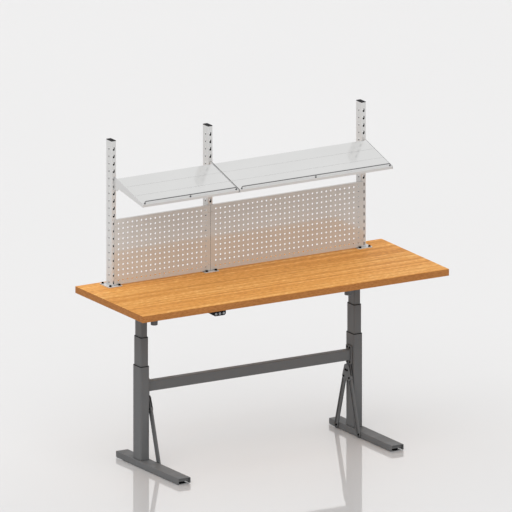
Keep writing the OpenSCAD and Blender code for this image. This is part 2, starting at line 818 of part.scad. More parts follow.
module support_arm(side) {
    web = arm_w / 2;
    color("#3a3a3a") at_side(side) difference() {
        union() {
            for (x = [-web, web - arm_t]) along_x(x, x + arm_t) arm_outline();
            translate([-web, -arm_reach, gear_top]) cube([arm_w, 2 * arm_reach, arm_t]);
            intersection() {
                along_x(-web, web) arm_outline();
                union() {
                    translate([-web, leg_y - arm_deep / 2, top_under - arm_h]) cube([arm_w, arm_deep, head_t]);
                    for (y = [-arm_reach, arm_reach - arm_t])
                        translate([-web, y, top_under - arm_h]) cube([arm_w, arm_t, arm_h]);
                }
            }
        }
        translate([0, leg_y, top_under - arm_h - 1]) linear_extrude(head_t + 2)
            rounded_rect(inner_w + 2 * slide_gap, inner_d + 2 * slide_gap, tube_r);
        translate([web - 2 * arm_t, leg_y - neck_r - 2, inner_top + gear_h / 2 - neck_r - 1])
            cube([3 * arm_t, 2 * neck_r + 4, 2 * neck_r + 2]);
        for (k = [-1, 1], y = arm_screw_ys)
            translate([k * arm_w / 4, y, gear_top - 1]) cylinder(r = wood_r + bolt_gap, h = arm_t + 2);
    }
}

module frame_rail(y) {
    color("#3a3a3a") difference() {
        along_x(-rail_half, rail_half) translate([y, top_under - rail_h / 2]) difference() {
            rounded_rect(rail_w, rail_h, 2 * rail_wall);
            rounded_rect(rail_w - 2 * rail_wall, rail_h - 2 * rail_wall, rail_wall);
        }
        for (s = [-1, 1]) translate([s * rail_half / 2, y, top_under - rail_h - 1])
            cylinder(r = wood_r + bolt_gap, h = rail_h + 2);
    }
}

module control_box() {
    ear_w = box_d / 3;
    color("#1c1c1c") difference() {
        union() {
            translate([box_x, box_y, top_under - box_h]) linear_extrude(box_h) rounded_rect(box_l, box_d, box_r);
            translate([box_x, box_y, top_under - ear_t]) linear_extrude(ear_t)
                rounded_rect(box_l + 2 * ear_l, ear_w, box_r);
        }
        for (s = [-1, 1]) translate([box_x + s * (box_l + ear_l) / 2, box_y, top_under - ear_t - 1])
            cylinder(r = wood_r + bolt_gap, h = ear_t + 2);
    }
}

button_z = top_under - hand_h / 2 - 1;

// The handset's outside, or the space inside it, set in by the given wall
module hand_shape(y0, y1, wall) {
    intersection() {
        along_x(hand_x - hand_w / 2, hand_x + hand_w / 2) polygon([
            [hand_y, top_under], [hand_y, top_under - hand_h + 2 * wall],
            [hand_y + hand_l, top_under - hand_back_h + 2 * wall], [hand_y + hand_l, top_under]
        ]);
        translate([hand_x, y1, top_under]) rotate([90, 0, 0]) linear_extrude(y1 - y0) mirror([0, 1])
            rounded_top_2d(hand_w - 2 * wall, wall, hand_h - wall, hand_r - wall);
    }
}

module handset_housing() {
    color("#1c1c1c") difference() {
        hand_shape(hand_y, hand_y + hand_l, 0);
        hand_shape(hand_y + hand_wall, hand_y + hand_wall + hand_l / 3, hand_wall);
        for (i = [-1:1]) translate([hand_x + i * button_pitch, hand_y - 1, button_z]) rotate([-90, 0, 0])
            cylinder(r = button_r + slide_gap, h = hand_wall + 2);
        for (s = [-1, 1])
            translate([hand_x + s * hand_w / 3, hand_y + 0.7 * hand_l, top_under - hand_h - 1]) {
                cylinder(r = wood_r + bolt_gap, h = hand_h + 2);
                cylinder(r = wood_head_r + bolt_gap, h = hand_h + 1 - hand_screw_seat);
            }
    }
}

// Button that moves towards the back: i is its place from the left
module button(i) {
    color("#8d8f92") translate([hand_x + i * button_pitch, hand_y - button_out, button_z]) rotate([-90, 0, 0]) {
        cylinder(r1 = button_r - 1, r2 = button_r, h = 1);
        translate([0, 0, 1]) cylinder(r = button_r, h = button_l - 1);
    }
}

module frame_screws() {
    color("#8a8a8a") for (p = under_screws) {
        translate([p[0], p[1], p[2] - wood_head_h]) cylinder(r = wood_head_r, h = wood_head_h);
        translate([p[0], p[1], p[2] - 1]) cylinder(r = wood_r, h = top_under + wood_bite - p[2] + 1);
    }
}

// Worktop

module worktop() {
    color("#dca05d") difference() {
        translate([0, 0, top_under + top_t / 2]) intersection() {
            linear_extrude(top_t + 2, center = true) rounded_rect(top_l, top_d, top_r);
            rotate([90, 0, 90]) linear_extrude(top_l + 2, center = true) rounded_rect(top_d, top_t, top_r);
            rotate([90, 0, 0]) linear_extrude(top_d + 2, center = true) rounded_rect(top_l, top_t, top_r);
        }
        for (p = under_screws)
            translate([p[0], p[1], top_under - 1]) cylinder(r = wood_r + bolt_gap, h = wood_bite + 1.5);
        for (p = base_screws)
            translate([p[0], p[1], top_z - wood_bite - 0.5])
                cylinder(r = base_screw_r + bolt_gap, h = wood_bite + 2);
    }
}

// Posts

// Distance from a post's middle line to the panel screws beside its slots
panel_screw_x = (slot_w / 2 + post_w / 2) / 2;
panel_screws = [
    for (span = panel_spans, z = screw_rows)
        for (x = [span[0] - panel_gap / 2 + panel_screw_x, span[1] + panel_gap / 2 - panel_screw_x])
            [x, top_z + z]
];

module post(x) {
    color("#d2d2d2") translate([x, post_y, top_z]) difference() {
        union() {
            linear_extrude(base_t) rounded_rect(base_w, base_d, 5);
            linear_extrude(post_h) rounded_rect(post_w, post_d, post_r);
        }
        translate([0, 0, base_t]) linear_extrude(post_h)
            rounded_rect(post_w - 2 * post_wall, post_d - 2 * post_wall, post_r - post_wall);
        for (k = [0:slot_count - 1]) translate([0, 0, slot_z + k * slot_pitch]) {
            rotate([90, 0, 0]) linear_extrude(post_d + 2, center = true) slot_2d(slot_w, slot_h);
            rotate([90, 0, 90]) linear_extrude(post_w + 2, center = true) slot_2d(side_slot_w, side_slot_h);
        }
        for (s = [-1, 1], k = [-1, 1]) translate([s * base_screw_w / 2, k * base_screw_d / 2, -1])
            cylinder(r = base_screw_r + bolt_gap, h = base_t + 2);
        for (p = panel_screws) translate([p[0] - x, -post_d / 2 + 2 * post_wall, p[1] - top_z]) rotate([90, 0, 0])
            cylinder(r = panel_screw_r + bolt_gap / 2, h = 3 * post_wall);
    }
}

module post_caps() {
    gap = bolt_gap / 2;
    color("#1c1c1c") for (x = post_xs) translate([x, post_y, top_z + post_h]) {
        translate([0, 0, -cap_h]) linear_extrude(cap_h + 1) rounded_rect(
            post_w - 2 * post_wall - 2 * gap, post_d - 2 * post_wall - 2 * gap, post_r - post_wall
        );
        linear_extrude(cap_t) rounded_rect(post_w, post_d, post_r);
    }
}

module post_base_screws() {
    color("#1c1c1c") for (p = base_screws) translate([p[0], p[1], 0]) {
        translate([0, 0, top_z - wood_bite]) cylinder(r = base_screw_r, h = wood_bite + base_t + 1);
        translate([0, 0, top_z + base_t]) cylinder(r = base_head_r, h = base_head_h - 1);
        translate([0, 0, top_z + base_t + base_head_h - 1])
            cylinder(r1 = base_head_r, r2 = base_head_r - 0.8, h = 1);
    }
}

// Panels

module panel(span) {
    w = span[1] - span[0];
    cols = floor((w - 2 * hole_margin) / hole_pitch) + 1;
    rows = floor((panel_h - 2 * hole_margin) / hole_pitch) + 1;
    fold_x = post_w / 2 + 1;
    color("#bcae9f") difference() {
        union() {
            translate([span[0] + w / 2, post_front, top_z + panel_z + panel_h / 2]) rotate([90, 0, 0])
                linear_extrude(panel_t) difference() {
                    square([w, panel_h], center = true);
                    for (i = [0:cols - 1], k = [0:rows - 1])
                        translate([(i - (cols - 1) / 2) * hole_pitch, (k - (rows - 1) / 2) * hole_pitch])
                            circle(d = hole_d, $fn = 24);
                }
            for (z = [0, panel_h - panel_t])
                translate([span[0] + fold_x, post_front - panel_t / 2, top_z + panel_z + z])
                    cube([w - 2 * fold_x, panel_fold, panel_t]);
        }
        for (p = panel_screws) translate([p[0], post_front + 1, p[1]]) rotate([90, 0, 0])
            cylinder(r = panel_screw_r + bolt_gap, h = panel_t + 2);
    }
}

module panel_screw_set() {
    inside = post_front + post_wall + panel_bite;
    face = post_front - panel_t;
    color("#bcae9f") for (p = panel_screws) {
        translate([p[0], inside, p[1]]) rotate([90, 0, 0])
            cylinder(r = panel_screw_r, h = inside - face + panel_head_h / 2);
        translate([p[0], face, p[1]]) rotate([90, 0, 0])
            cylinder(r1 = 2 * panel_screw_r, r2 = 1.4 * panel_screw_r, h = panel_head_h);
    }
}

// Shelves

// Places a shape on the shelves: local Y runs up the slope from the front edge, Z stands off the face
module on_shelf() {
    translate([0, shelf_front, top_z + shelf_z]) rotate([shelf_tilt, 0, 0]) children();
}

// Places of a stop rail's three legs on a shelf
function wire_legs(span) = [span[0] + wire_inset, (span[0] + span[1]) / 2, span[1] - wire_inset];

// Block with its four upper edges rounded, from x0 to x1, y0 to y1 and z0 to z1
module soft_block(x0, x1, y0, y1, z0, z1, r) {
    intersection() {
        along_x(x0, x1) translate([(y0 + y1) / 2, 0]) rounded_top_2d(y1 - y0, z0, z1, r);
        translate([(x0 + x1) / 2, y1, 0]) rotate([90, 0, 0])
            linear_extrude(y1 - y0) rounded_top_2d(x1 - x0, z0, z1, r);
    }
}

module shelf(span) {
    w = span[1] - span[0];
    color("#d9d9d9") on_shelf() difference() {
        soft_block(span[0], span[1], 0, shelf_d, -shelf_lip, 0, shelf_r);
        soft_block(
            span[0] + shelf_t, span[1] - shelf_t, shelf_t, shelf_d - shelf_t,
            -shelf_lip - 1, -shelf_t, shelf_r - shelf_t
        );
        for (x = [span[0] - 1, span[1] - shelf_t - 1]) translate([x, shelf_t, -shelf_lip - 1])
            cube([shelf_t + 2, shelf_d - 2 * shelf_t, shelf_lip + 1 - shelf_side]);
        for (k = [1, 2]) {
            translate([span[0] + shelf_r, k * shelf_d / 3 - crease_w / 2, -crease_h])
                cube([w - 2 * shelf_r, crease_w, crease_h + 1]);
            for (x = [span[0] - 1, span[1] - notch_w]) translate([x, k * shelf_d / 3 - notch_w / 2, -notch_h])
                cube([notch_w + 1, notch_w, notch_h + 1]);
        }
        for (x = wire_legs(span)) translate([x, wire_y, -2 * shelf_t])
            cylinder(r = wire_r + bolt_gap, h = 3 * shelf_t);
    }
}

// Slot that takes a bracket's lower hook, counted up from the lowest
hook_slot = ceil((bracket_z + heel_h - slot_z) / slot_pitch);
// Height from a hook's seat in the round end of a slot up to the slot's middle, for a hook that reaches
// that far from the post's middle line
function hook_rest(reach) = (slot_h - slot_w) / 2 + sqrt(pow(slot_w / 2 - slide_gap, 2) - pow(reach, 2));

// Flat bracket from x0 to x0 + bracket_t, hooked into two slots of the post at post_x
module shelf_bracket(x0, post_x) {
    rest = hook_rest(max(abs(x0 - post_x), abs(x0 + bracket_t - post_x)));
    top = bracket_z + bracket_h;
    slope = tan(shelf_tilt);
    level_y = shelf_front + (top - shelf_z) / slope;
    color("#cccccc") along_x(x0, x0 + bracket_t) translate([0, top_z]) {
        polygon([
            [post_front, bracket_z], [post_front, top], [level_y, top], [shelf_front, shelf_z],
            [shelf_front, shelf_z - bracket_front_h], [post_front - heel_l - heel_h, bracket_z + heel_h],
            [post_front - heel_l, bracket_z]
        ]);
        for (k = [0, 1]) {
            z = slot_z + (hook_slot + k) * slot_pitch - rest;
            in = post_front + post_wall + slide_gap;
            translate([post_front - 1, z]) square([post_wall + slide_gap + 1 + hook_l, slot_h / 2]);
            translate([in, z - hook_drop]) square([hook_l, slot_h / 2 + hook_drop]);
        }
    }
}

module stop_rail(span) {
    legs = wire_legs(span);
    color("#6a6c6e") on_shelf() translate([0, wire_y, 0]) {
        bar_x(legs[0] + wire_bend, legs[2] - wire_bend, 0, wire_z, wire_r);
        for (x = [legs[0], legs[2]]) translate([x, 0, -wire_foot])
            cylinder(r = wire_r, h = wire_z - wire_bend + wire_foot);
        translate([legs[1], 0, -wire_foot]) cylinder(r = wire_r, h = wire_z + wire_foot);
        for (x = legs) translate([x, 0, -wire_foot]) cylinder(r = wire_r + 2, h = wire_foot - shelf_t);
        translate([legs[0] + wire_bend, 0, wire_z - wire_bend]) rotate([90, 0, 0])
            rotate([0, 0, 90]) rotate_extrude(angle = 90) translate([wire_bend, 0]) circle(r = wire_r, $fn = 24);
        translate([legs[2] - wire_bend, 0, wire_z - wire_bend]) rotate([90, 0, 0])
            rotate_extrude(angle = 90) translate([wire_bend, 0]) circle(r = wire_r, $fn = 24);
    }
}

foot(-1);  // left_foot
foot(1);  // right_foot
outer_tube(-1);  // left_outer_tube
outer_tube(1);  // right_outer_tube
outer_guides();
fixed_spindle_tubes();
foot_bolts();
crossbar();
crossbar_screws();
gusset(-1);  // left_gusset
gusset(1);  // right_gusset
brace(-1, -1);  // left_front_brace
brace(-1, 1);  // left_back_brace
brace(1, -1);  // right_front_brace
brace(1, 1);  // right_back_brace
brace_bolts();
glide(-1, glide_ys[0]);  // left_front_glide
glide(-1, glide_ys[1]);  // left_back_glide
glide(1, glide_ys[0]);  // right_front_glide
glide(1, glide_ys[1]);  // right_back_glide
middle_tube(-1);  // left_middle_tube
middle_tube(1);  // right_middle_tube
middle_guides(-1);  // left_middle_guides
middle_guides(1);  // right_middle_guides
hollow_screw(-1);  // left_hollow_screw
hollow_screw(1);  // right_hollow_screw
inner_tube(-1);  // left_inner_tube
inner_tube(1);  // right_inner_tube
inner_guides();
solid_screws();
drive_unit(-1);  // left_drive_unit
drive_unit(1);  // right_drive_unit
support_arm(-1);  // left_support_arm
support_arm(1);  // right_support_arm
frame_rail(front_rail_y);  // front_rail
frame_rail(back_rail_y);  // back_rail
control_box();
handset_housing();
button(-1);  // up_button
button(0);  // down_button
button(1);  // memory_button
frame_screws();
worktop();
post(post_xs[0]);  // left_post
post(post_xs[1]);  // middle_post
post(post_xs[2]);  // right_post
post_caps();
post_base_screws();
panel(panel_spans[0]);  // left_panel
panel(panel_spans[1]);  // right_panel
panel_screw_set();  // panel_screws
shelf(shelf_spans[0]);  // left_shelf
shelf(shelf_spans[1]);  // right_shelf
shelf_bracket(shelf_spans[0][0] - bracket_t, post_xs[0]);  // left_shelf_outer_bracket
shelf_bracket(shelf_spans[0][1], post_xs[1]);  // left_shelf_inner_bracket
shelf_bracket(shelf_spans[1][0] - bracket_t, post_xs[1]);  // right_shelf_inner_bracket
shelf_bracket(shelf_spans[1][1], post_xs[2]);  // right_shelf_outer_bracket
stop_rail(shelf_spans[0]);  // left_stop_rail
stop_rail(shelf_spans[1]);  // right_stop_rail
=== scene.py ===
"""Looks of a height-adjustable workbench desk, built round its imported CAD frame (Blender 4.5).

Every piece stands in the row frame, in metres: X along the desk, Y to its back, Z up.
Sizes are written in millimetres where a maker would, and turned to metres by MM.
"""

from __future__ import annotations

import json
import logging
import math
from dataclasses import dataclass, field, replace
from enum import Enum
from typing import Any, Sequence

import bmesh
import bpy
from bpy.types import ID, Material, Mesh, Node, NodeSocket, NodeTree, Object
from mathutils import Matrix, Vector

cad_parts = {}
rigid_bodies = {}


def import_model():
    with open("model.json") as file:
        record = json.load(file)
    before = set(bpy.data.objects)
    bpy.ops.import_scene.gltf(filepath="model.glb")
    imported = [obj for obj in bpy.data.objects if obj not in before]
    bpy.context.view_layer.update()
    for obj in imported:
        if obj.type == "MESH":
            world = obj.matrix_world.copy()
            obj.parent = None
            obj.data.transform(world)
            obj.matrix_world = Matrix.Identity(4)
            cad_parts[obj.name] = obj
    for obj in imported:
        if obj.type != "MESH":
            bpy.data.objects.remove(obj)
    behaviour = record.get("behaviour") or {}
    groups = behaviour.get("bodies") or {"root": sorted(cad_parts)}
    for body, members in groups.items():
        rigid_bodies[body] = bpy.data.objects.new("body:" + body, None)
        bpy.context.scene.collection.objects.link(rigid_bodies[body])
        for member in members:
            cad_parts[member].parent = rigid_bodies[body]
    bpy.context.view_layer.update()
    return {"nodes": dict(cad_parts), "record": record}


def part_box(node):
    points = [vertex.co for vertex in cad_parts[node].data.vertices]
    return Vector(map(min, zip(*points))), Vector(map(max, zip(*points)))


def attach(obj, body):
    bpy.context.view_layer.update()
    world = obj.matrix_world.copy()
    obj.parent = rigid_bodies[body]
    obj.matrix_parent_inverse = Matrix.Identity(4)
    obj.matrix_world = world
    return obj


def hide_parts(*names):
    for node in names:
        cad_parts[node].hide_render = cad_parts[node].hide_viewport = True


for startup_item in list(bpy.data.objects):
    bpy.data.objects.remove(startup_item)
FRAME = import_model()

Span = tuple[float, float]

LOG = logging.getLogger("workbench")
MM = 0.001
POSTS = ("left_post", "middle_post", "right_post")
CORNERS = ((-1, -1), (1, -1), (1, 1), (-1, 1))
UPWARDS = (0.0, 0.0, 1.0)
FULL_TURN = 2 * math.pi
WHITE = (1.0, 1.0, 1.0, 1.0)
MATH = "ShaderNodeMath"
MIX = "ShaderNodeMix"
STRETCH = "ShaderNodeMapRange"
COLOURS = {"data_type": "RGBA"}  # makes a Mix node one for colours
SHARP_DEG = 32.0  # an edge that turns more than this stays sharp
NOISE_CORE = (0.3, 0.7)  # nearly all of a noise's values lie between these


# ---- Colours and nodes


def linear(hex_colour: str, gain: float = 1.0) -> tuple[float, float, float, float]:
    """Turns an sRGB hex colour to linear light.

    Args:
        hex_colour: The colour as "#rrggbb".
        gain: Factor on the linear value, for a lighter or darker sister tone.

    Returns:
        Red, green, blue and an alpha of one.
    """
    channels = [int(hex_colour[i:i + 2], 16) / 255 for i in (1, 3, 5)]
    rgb = [c / 12.92 if c <= 0.04045 else ((c + 0.055) / 1.055) ** 2.4 for c in channels]
    return (rgb[0] * gain, rgb[1] * gain, rgb[2] * gain, 1.0)


class Tree:
    """A node tree in the making. A node that is linked from stands for its first live output."""

    def __init__(self, tree: NodeTree) -> None:
        """Takes an empty tree."""
        self.tree = tree

    def plug(self, socket: NodeSocket, value: Any) -> None:
        """Fills an input.

        Args:
            socket: The input.
            value: Its value, or the socket or node that it is linked from.
        """
        if isinstance(value, Node):
            value = next(s for s in value.outputs if s.enabled)
        if isinstance(value, NodeSocket):
            self.tree.links.new(value, socket)
        else:
            socket.default_value = value

    def add(self, kind: str, *values: Any, **named: Any) -> Node:
        """Adds one node with its settings and links.

        Args:
            kind: Blender's node type.
            values: What fills the node's live inputs, in their order.
            named: A property, in small letters, or what fills an input whose name starts with a
                capital letter, with underscores for its spaces.

        Returns:
            The new node.
        """
        node = self.tree.nodes.new(kind)
        for key, value in named.items():
            if key[0].islower():
                setattr(node, key, value)
        for socket, value in zip([s for s in node.inputs if s.enabled], values):
            self.plug(socket, value)
        for key, value in named.items():
            if key[0].isupper():
                self.plug(node.inputs[key.replace("_", " ")], value)
        return node


@dataclass(frozen=True)
class Pattern:
    """Noise at a real scale, and the part of its range that is stretched to a full mask."""

    spacing_mm: tuple[float, float, float]  # between its marks along X, Y and Z
    detail: float = 2.0  # octaves of finer noise
    swirl: float = 0.0  # how much it is bent by itself
    low: float = NOISE_CORE[0]
    high: float = NOISE_CORE[1]

    def scale(self) -> list[float]:
        """Gives the marks to a metre along X, Y and Z."""
        return [1.0 / (spacing * MM) for spacing in self.spacing_mm]


class Paint(Tree):
    """A material in the making. Its patterns lie on Object coordinates."""

    def __init__(self, name: str) -> None:
        """Starts a material that has only its shader.

        Args:
            name: The material's name.
        """
        self.material = bpy.data.materials.new(name)
        self.material.use_nodes = True
        super().__init__(self.material.node_tree)
        self.tree.nodes.clear()
        self.shader = self.add("ShaderNodeBsdfPrincipled")
        self.add("ShaderNodeOutputMaterial", self.shader)
        self.place = self.add("ShaderNodeTexCoord").outputs["Object"]

    def noise(self, pattern: Pattern) -> Node:
        """Adds a pattern's noise, whose value lies round about 0.5."""
        placed = self.add("ShaderNodeMapping", self.place, Scale=pattern.scale())
        return self.add("ShaderNodeTexNoise", placed, 1.0, pattern.detail, Distortion=pattern.swirl)

    def mask(self, pattern: Pattern, bare: float = 0.0, full: float = 1.0) -> Node:
        """Adds a pattern's noise, stretched and clamped from a bare value to a full one."""
        found = self.noise(pattern)
        return self.add(STRETCH, found, pattern.low, pattern.high, bare, full)

    def tone(self, colour: str, drift: float, pattern: Pattern) -> Node:
        """Adds a colour that drifts along a pattern, from a darker to a lighter tone."""
        dark, light = linear(colour, 1 - drift), linear(colour, 1 + drift)
        return self.add(MIX, self.mask(pattern), dark, light, **COLOURS)

    def edges(self, radius_mm: float, turn: Span, full: float) -> Node:
        """Finds the piece's edges by comparing its normal with one smoothed over a radius.

        Args:
            radius_mm: How far from the edge the mask reaches.
            turn: Turns of the normal where the mask starts and where it is full.
            full: Value of the mask where it is full.

        Returns:
            0 on the flats, up to the full value on the edges.
        """
        soft = self.add("ShaderNodeBevel", Radius=radius_mm * MM, samples=4)
        plain = self.add("ShaderNodeNewGeometry").outputs["Normal"]
        likeness = self.add("ShaderNodeVectorMath", soft, plain, operation="DOT_PRODUCT")
        return self.add(STRETCH, likeness, 1.0 - turn[0], 1.0 - turn[1], 0.0, full)

    def crease_shade(self, reach_mm: float, light: Span) -> Node:
        """Finds gaps, where shade is painted: 0 in them, up to 1 where a full share of light comes.
        """
        sky = self.add("ShaderNodeAmbientOcclusion", Distance=reach_mm * MM, samples=6)
        return self.add(STRETCH, sky.outputs["AO"], *light)

    def close(self, **sockets: Any) -> Material:
        """Leads what was made into the shader.

        Args:
            sockets: What fills each of its inputs, with underscores for spaces.

        Returns:
            The material.
        """
        for label, value in sockets.items():
            self.plug(self.shader.inputs[label.replace("_", " ")], value)
        return self.material


# ---- Finishes


@dataclass(frozen=True)
class Finish:
    """What every finish has: the name of its material."""

    name: str


@dataclass(frozen=True)
class PowderCoat(Finish):
    """Polyester powder, sprayed on steel and baked: an even tone, with orange peel in the gloss.

    Real specks of powder are under 0.3 mm wide. They are drawn 1.4 mm wide, so that they show.
    """

    colour: str
    roughness: float
    specular: float = 0.5
    coat: float = 0.0
    cloud: float = 0.05
    # share of white on the edges: partly real wear, partly a painted edge highlight
    worn_lit_edge_gain: float = 0.12
    speck: float = 0.1
    speck_gain: float = 0.7
    worn_lit_edge_mm: float = 1.6
    worn_lit_edge_turn: Span = (0.02, 0.2)
    # reach, light span and deep tone of the painted shade in gaps and creases
    crease_shade_mm: float = 9.0
    crease_shade_light: Span = (0.25, 0.75)
    crease_shade_gain: float = 0.12
    gloss: Span = (0.85, 1.2)
    peel_depth_mm: float = 0.04
    peel_shows: float = 0.35
    ior: float = 1.5
    coat_roughness: float = 0.04
    coat_ior: float = 1.7
    clouds: Pattern = Pattern((310, 260, 280), 3.0, low=0.35, high=0.65)
    specks: Pattern = Pattern((1.4, 1.4, 1.4), 1.0)
    smears: Pattern = Pattern((90, 70, 120), 4.0, 0.6)
    peel: Pattern = Pattern((3, 3, 3))

    def inside(self, paint: Paint, colour: Node) -> Node:
        """Gives the colour where the spray doesn't reach: it reaches every part of a plain coat."""
        return colour

    def build(self) -> Material:
        """Builds the material.

        Returns:
            The material.
        """
        paint = Paint(self.name)
        tone = paint.tone(self.colour, self.cloud, self.clouds)
        speck, dull = paint.mask(self.specks, full=self.speck), linear(self.colour, self.speck_gain)
        tone = paint.add(MIX, speck, tone, dull, **COLOURS)
        # Edges mixed towards white: partly real wear, partly a painted edge highlight.
        worn_lit_edge = paint.edges(self.worn_lit_edge_mm, self.worn_lit_edge_turn, self.worn_lit_edge_gain)
        tone = paint.add(MIX, worn_lit_edge, tone, WHITE, **COLOURS)
        # Painted shade: gaps and creases darken towards a deep tone of the coat.
        crease_shade_tone = linear(self.colour, self.crease_shade_gain)
        unshaded = paint.crease_shade(self.crease_shade_mm, self.crease_shade_light)
        tone = paint.add(MIX, unshaded, crease_shade_tone, tone, **COLOURS)
        peel, depth = paint.noise(self.peel), self.peel_depth_mm * MM
        return paint.close(
            Base_Color=self.inside(paint, tone),
            Roughness=paint.mask(self.smears, *(self.roughness * g for g in self.gloss)),
            Normal=paint.add("ShaderNodeBump", self.peel_shows, depth, Height=peel),
            IOR=self.ior,
            Specular_IOR_Level=self.specular,
            Coat_Weight=self.coat,
            Coat_Roughness=self.coat_roughness,
            Coat_IOR=self.coat_ior,
        )


@dataclass(frozen=True)
class TubeCoat(PowderCoat):
    """Powder coat on an upright tube. The spray doesn't reach its bore, where mill scale stays."""

    centre: Span = (0.0, 0.0)
    bore: Span = (26 * MM, 56 * MM)
    overspray: float = 0.2 * MM
    scale_colour: str = "#161514"

    def inside(self, paint: Paint, colour: Node) -> Node:
        """Darkens the tube's bore.

        Args:
            paint: The material.
            colour: The coat's colour.

        Returns:
            The colour of coat and bore.
        """
        axes = paint.add("ShaderNodeSeparateXYZ", paint.place).outputs
        within = [
            paint.add(MATH, axis, middle, width / 2 + self.overspray, operation="COMPARE")
            for axis, middle, width in zip(axes, self.centre, self.bore)
        ]
        bare = paint.add(MATH, *within, operation="MULTIPLY")
        return paint.add(MIX, bare, colour, linear(self.scale_colour), **COLOURS)


@dataclass(frozen=True)
class WoodLaminate(Finish):
    """Pressed laminate with a printed oak grain, which gives long soft streaks under a satin film.

    Real streaks are 2 to 20 mm wide, and those of the edge band under 1 mm. They are drawn 18 to
    30 mm and 2.5 mm wide, so that they show. Light is painted on towards the back, where the
    shelves and panels cast shade.
    """

    tones: tuple[str, str, str, str]
    # colour of the edge band, darker than the top as painted shade on the narrow faces
    band: str
    pore: str
    inner_places: Span = (0.36, 0.64)  # of the two middle tones along the ramp
    fibre: Pattern = Pattern((20, 6, 3))
    drift: Pattern = Pattern((2500, 120, 400))
    streak: Pattern = Pattern((2200, 26, 40), 0.5)
    dash: Pattern = Pattern((24, 16, 16), 0.0)
    weights: tuple[float, float, float] = (0.15, 1.4, 0.6)  # of drift, streak and dash
    grain_range: Span = (1.15, 2.11)
    pores: Pattern = Pattern((16, 0.9, 4), low=0.62, high=0.74)
    pore_shows: float = 0.45
    band_gains: Span = (0.98, 1.112)
    ticks: Pattern = Pattern((16, 16, 2.5), 1.0, low=0.4, high=0.64)
    tick_shows: float = 0.5
    back_light_gain: float = 1.12
    back_light_y: Span = (0.02, 0.2)
    edge_slope: Span = (0.75, 0.6)
    satin: Span = (0.5, 0.62)
    relief_mm: float = 0.05
    relief_shows: float = 0.5
    ior: float = 1.45
    specular: float = 0.14

    def build(self) -> Material:
        """Builds the material.

        Returns:
            The material.
        """
        paint = Paint(self.name)
        fibre = paint.noise(self.fibre)
        printed = fibre
        for layer, weight in zip((self.drift, self.streak, self.dash), self.weights):
            printed = paint.add(MATH, paint.noise(layer), weight, printed, operation="MULTIPLY_ADD")
        grain = paint.add(STRETCH, printed, *self.grain_range)
        ramp = paint.add("ShaderNodeValToRGB", grain)
        stops = ramp.color_ramp.elements
        for place in self.inner_places:
            stops.new(place)
        for stop, tone in zip(stops, self.tones):
            stop.color = linear(tone)
        pores = paint.mask(self.pores)
        share = paint.add(MATH, pores, self.pore_shows, operation="MULTIPLY")
        face = paint.add(MIX, share, ramp, linear(self.pore), **COLOURS)
        # Painted light: the top grows paler towards the back, lifting the shade of the shelves and
        # panels.
        back = paint.add("ShaderNodeSeparateXYZ", paint.place).outputs["Y"]
        back = paint.add(STRETCH, back, *self.back_light_y)
        pale = (self.back_light_gain,) * 3 + (1.0,)
        face = paint.add(MIX, back, face, pale, blend_type="MULTIPLY", **COLOURS)
        # Painted shade: the edge band is darker than the top, as the narrow faces get less light.
        band = paint.add(MIX, grain, *(linear(self.band, g) for g in self.band_gains), **COLOURS)
        ticks = paint.mask(self.ticks, full=self.tick_shows)
        band = paint.add(MIX, ticks, band, linear(self.pore), **COLOURS)
        relief = paint.add(MATH, fibre, pores, operation="SUBTRACT")
        depth = self.relief_mm * MM
        return paint.close(
            Base_Color=paint.add(MIX, self.on_edges(paint), face, band, **COLOURS),
            Roughness=paint.add(STRETCH, fibre, *NOISE_CORE, *self.satin),
            Normal=paint.add("ShaderNodeBump", self.relief_shows, depth, Height=relief),
            IOR=self.ior,
            Specular_IOR_Level=self.specular,
        )

    def on_edges(self, paint: Paint) -> Node:
        """Finds the worktop's narrow faces, which carry an edge band in a darker tone of painted
        shade.

        Args:
            paint: The material.

        Returns:
            1 on the edge band and 0 on the two large faces.
        """
        normal = paint.add("ShaderNodeNewGeometry").outputs["Normal"]
        lean = paint.add("ShaderNodeSeparateXYZ", normal).outputs["Z"]
        upright = paint.add(MATH, lean, operation="ABSOLUTE")
        return paint.add(STRETCH, upright, *self.edge_slope)


@dataclass(frozen=True)
class MouldedPlastic(Finish):
    """Injection-moulded ABS or polyamide: a spark-eroded texture that breaks the gloss into grains.

    Real grains are about 0.1 mm wide. They are drawn 0.5 to 0.8 mm wide, so that they show.
    """

    colour: str
    roughness: float
    specular: float = 0.3
    drift: float = 0.12
    # share of white on the edges: partly real wear, partly a painted edge highlight
    worn_lit_edge_gain: float = 0.07
    worn_lit_edge_mm: float = 0.8
    worn_lit_edge_turn: Span = (0.03, 0.3)
    gloss: Span = (0.85, 1.15)
    relief_mm: float = 0.03
    relief_shows: float = 0.5
    ior: float = 1.53
    flow: Pattern = Pattern((40, 30, 35), 2.0, 0.8)
    grain_mm: float = 0.8

    def build(self) -> Material:
        """Builds the material.

        Returns:
            The material.
        """
        paint = Paint(self.name)
        tone = paint.tone(self.colour, self.drift, self.flow)
        # Edges mixed towards white: partly real wear, partly a painted edge highlight.
        worn_lit_edge = paint.edges(self.worn_lit_edge_mm, self.worn_lit_edge_turn, self.worn_lit_edge_gain)
        grain = paint.noise(Pattern((self.grain_mm,) * 3))
        shine, depth = [self.roughness * g for g in self.gloss], self.relief_mm * MM
        return paint.close(
            Base_Color=paint.add(MIX, worn_lit_edge, tone, WHITE, **COLOURS),
            Roughness=paint.add(STRETCH, grain, *NOISE_CORE, *shine),
            Normal=paint.add("ShaderNodeBump", self.relief_shows, depth, Height=grain),
            IOR=self.ior,
            Specular_IOR_Level=self.specular,
        )


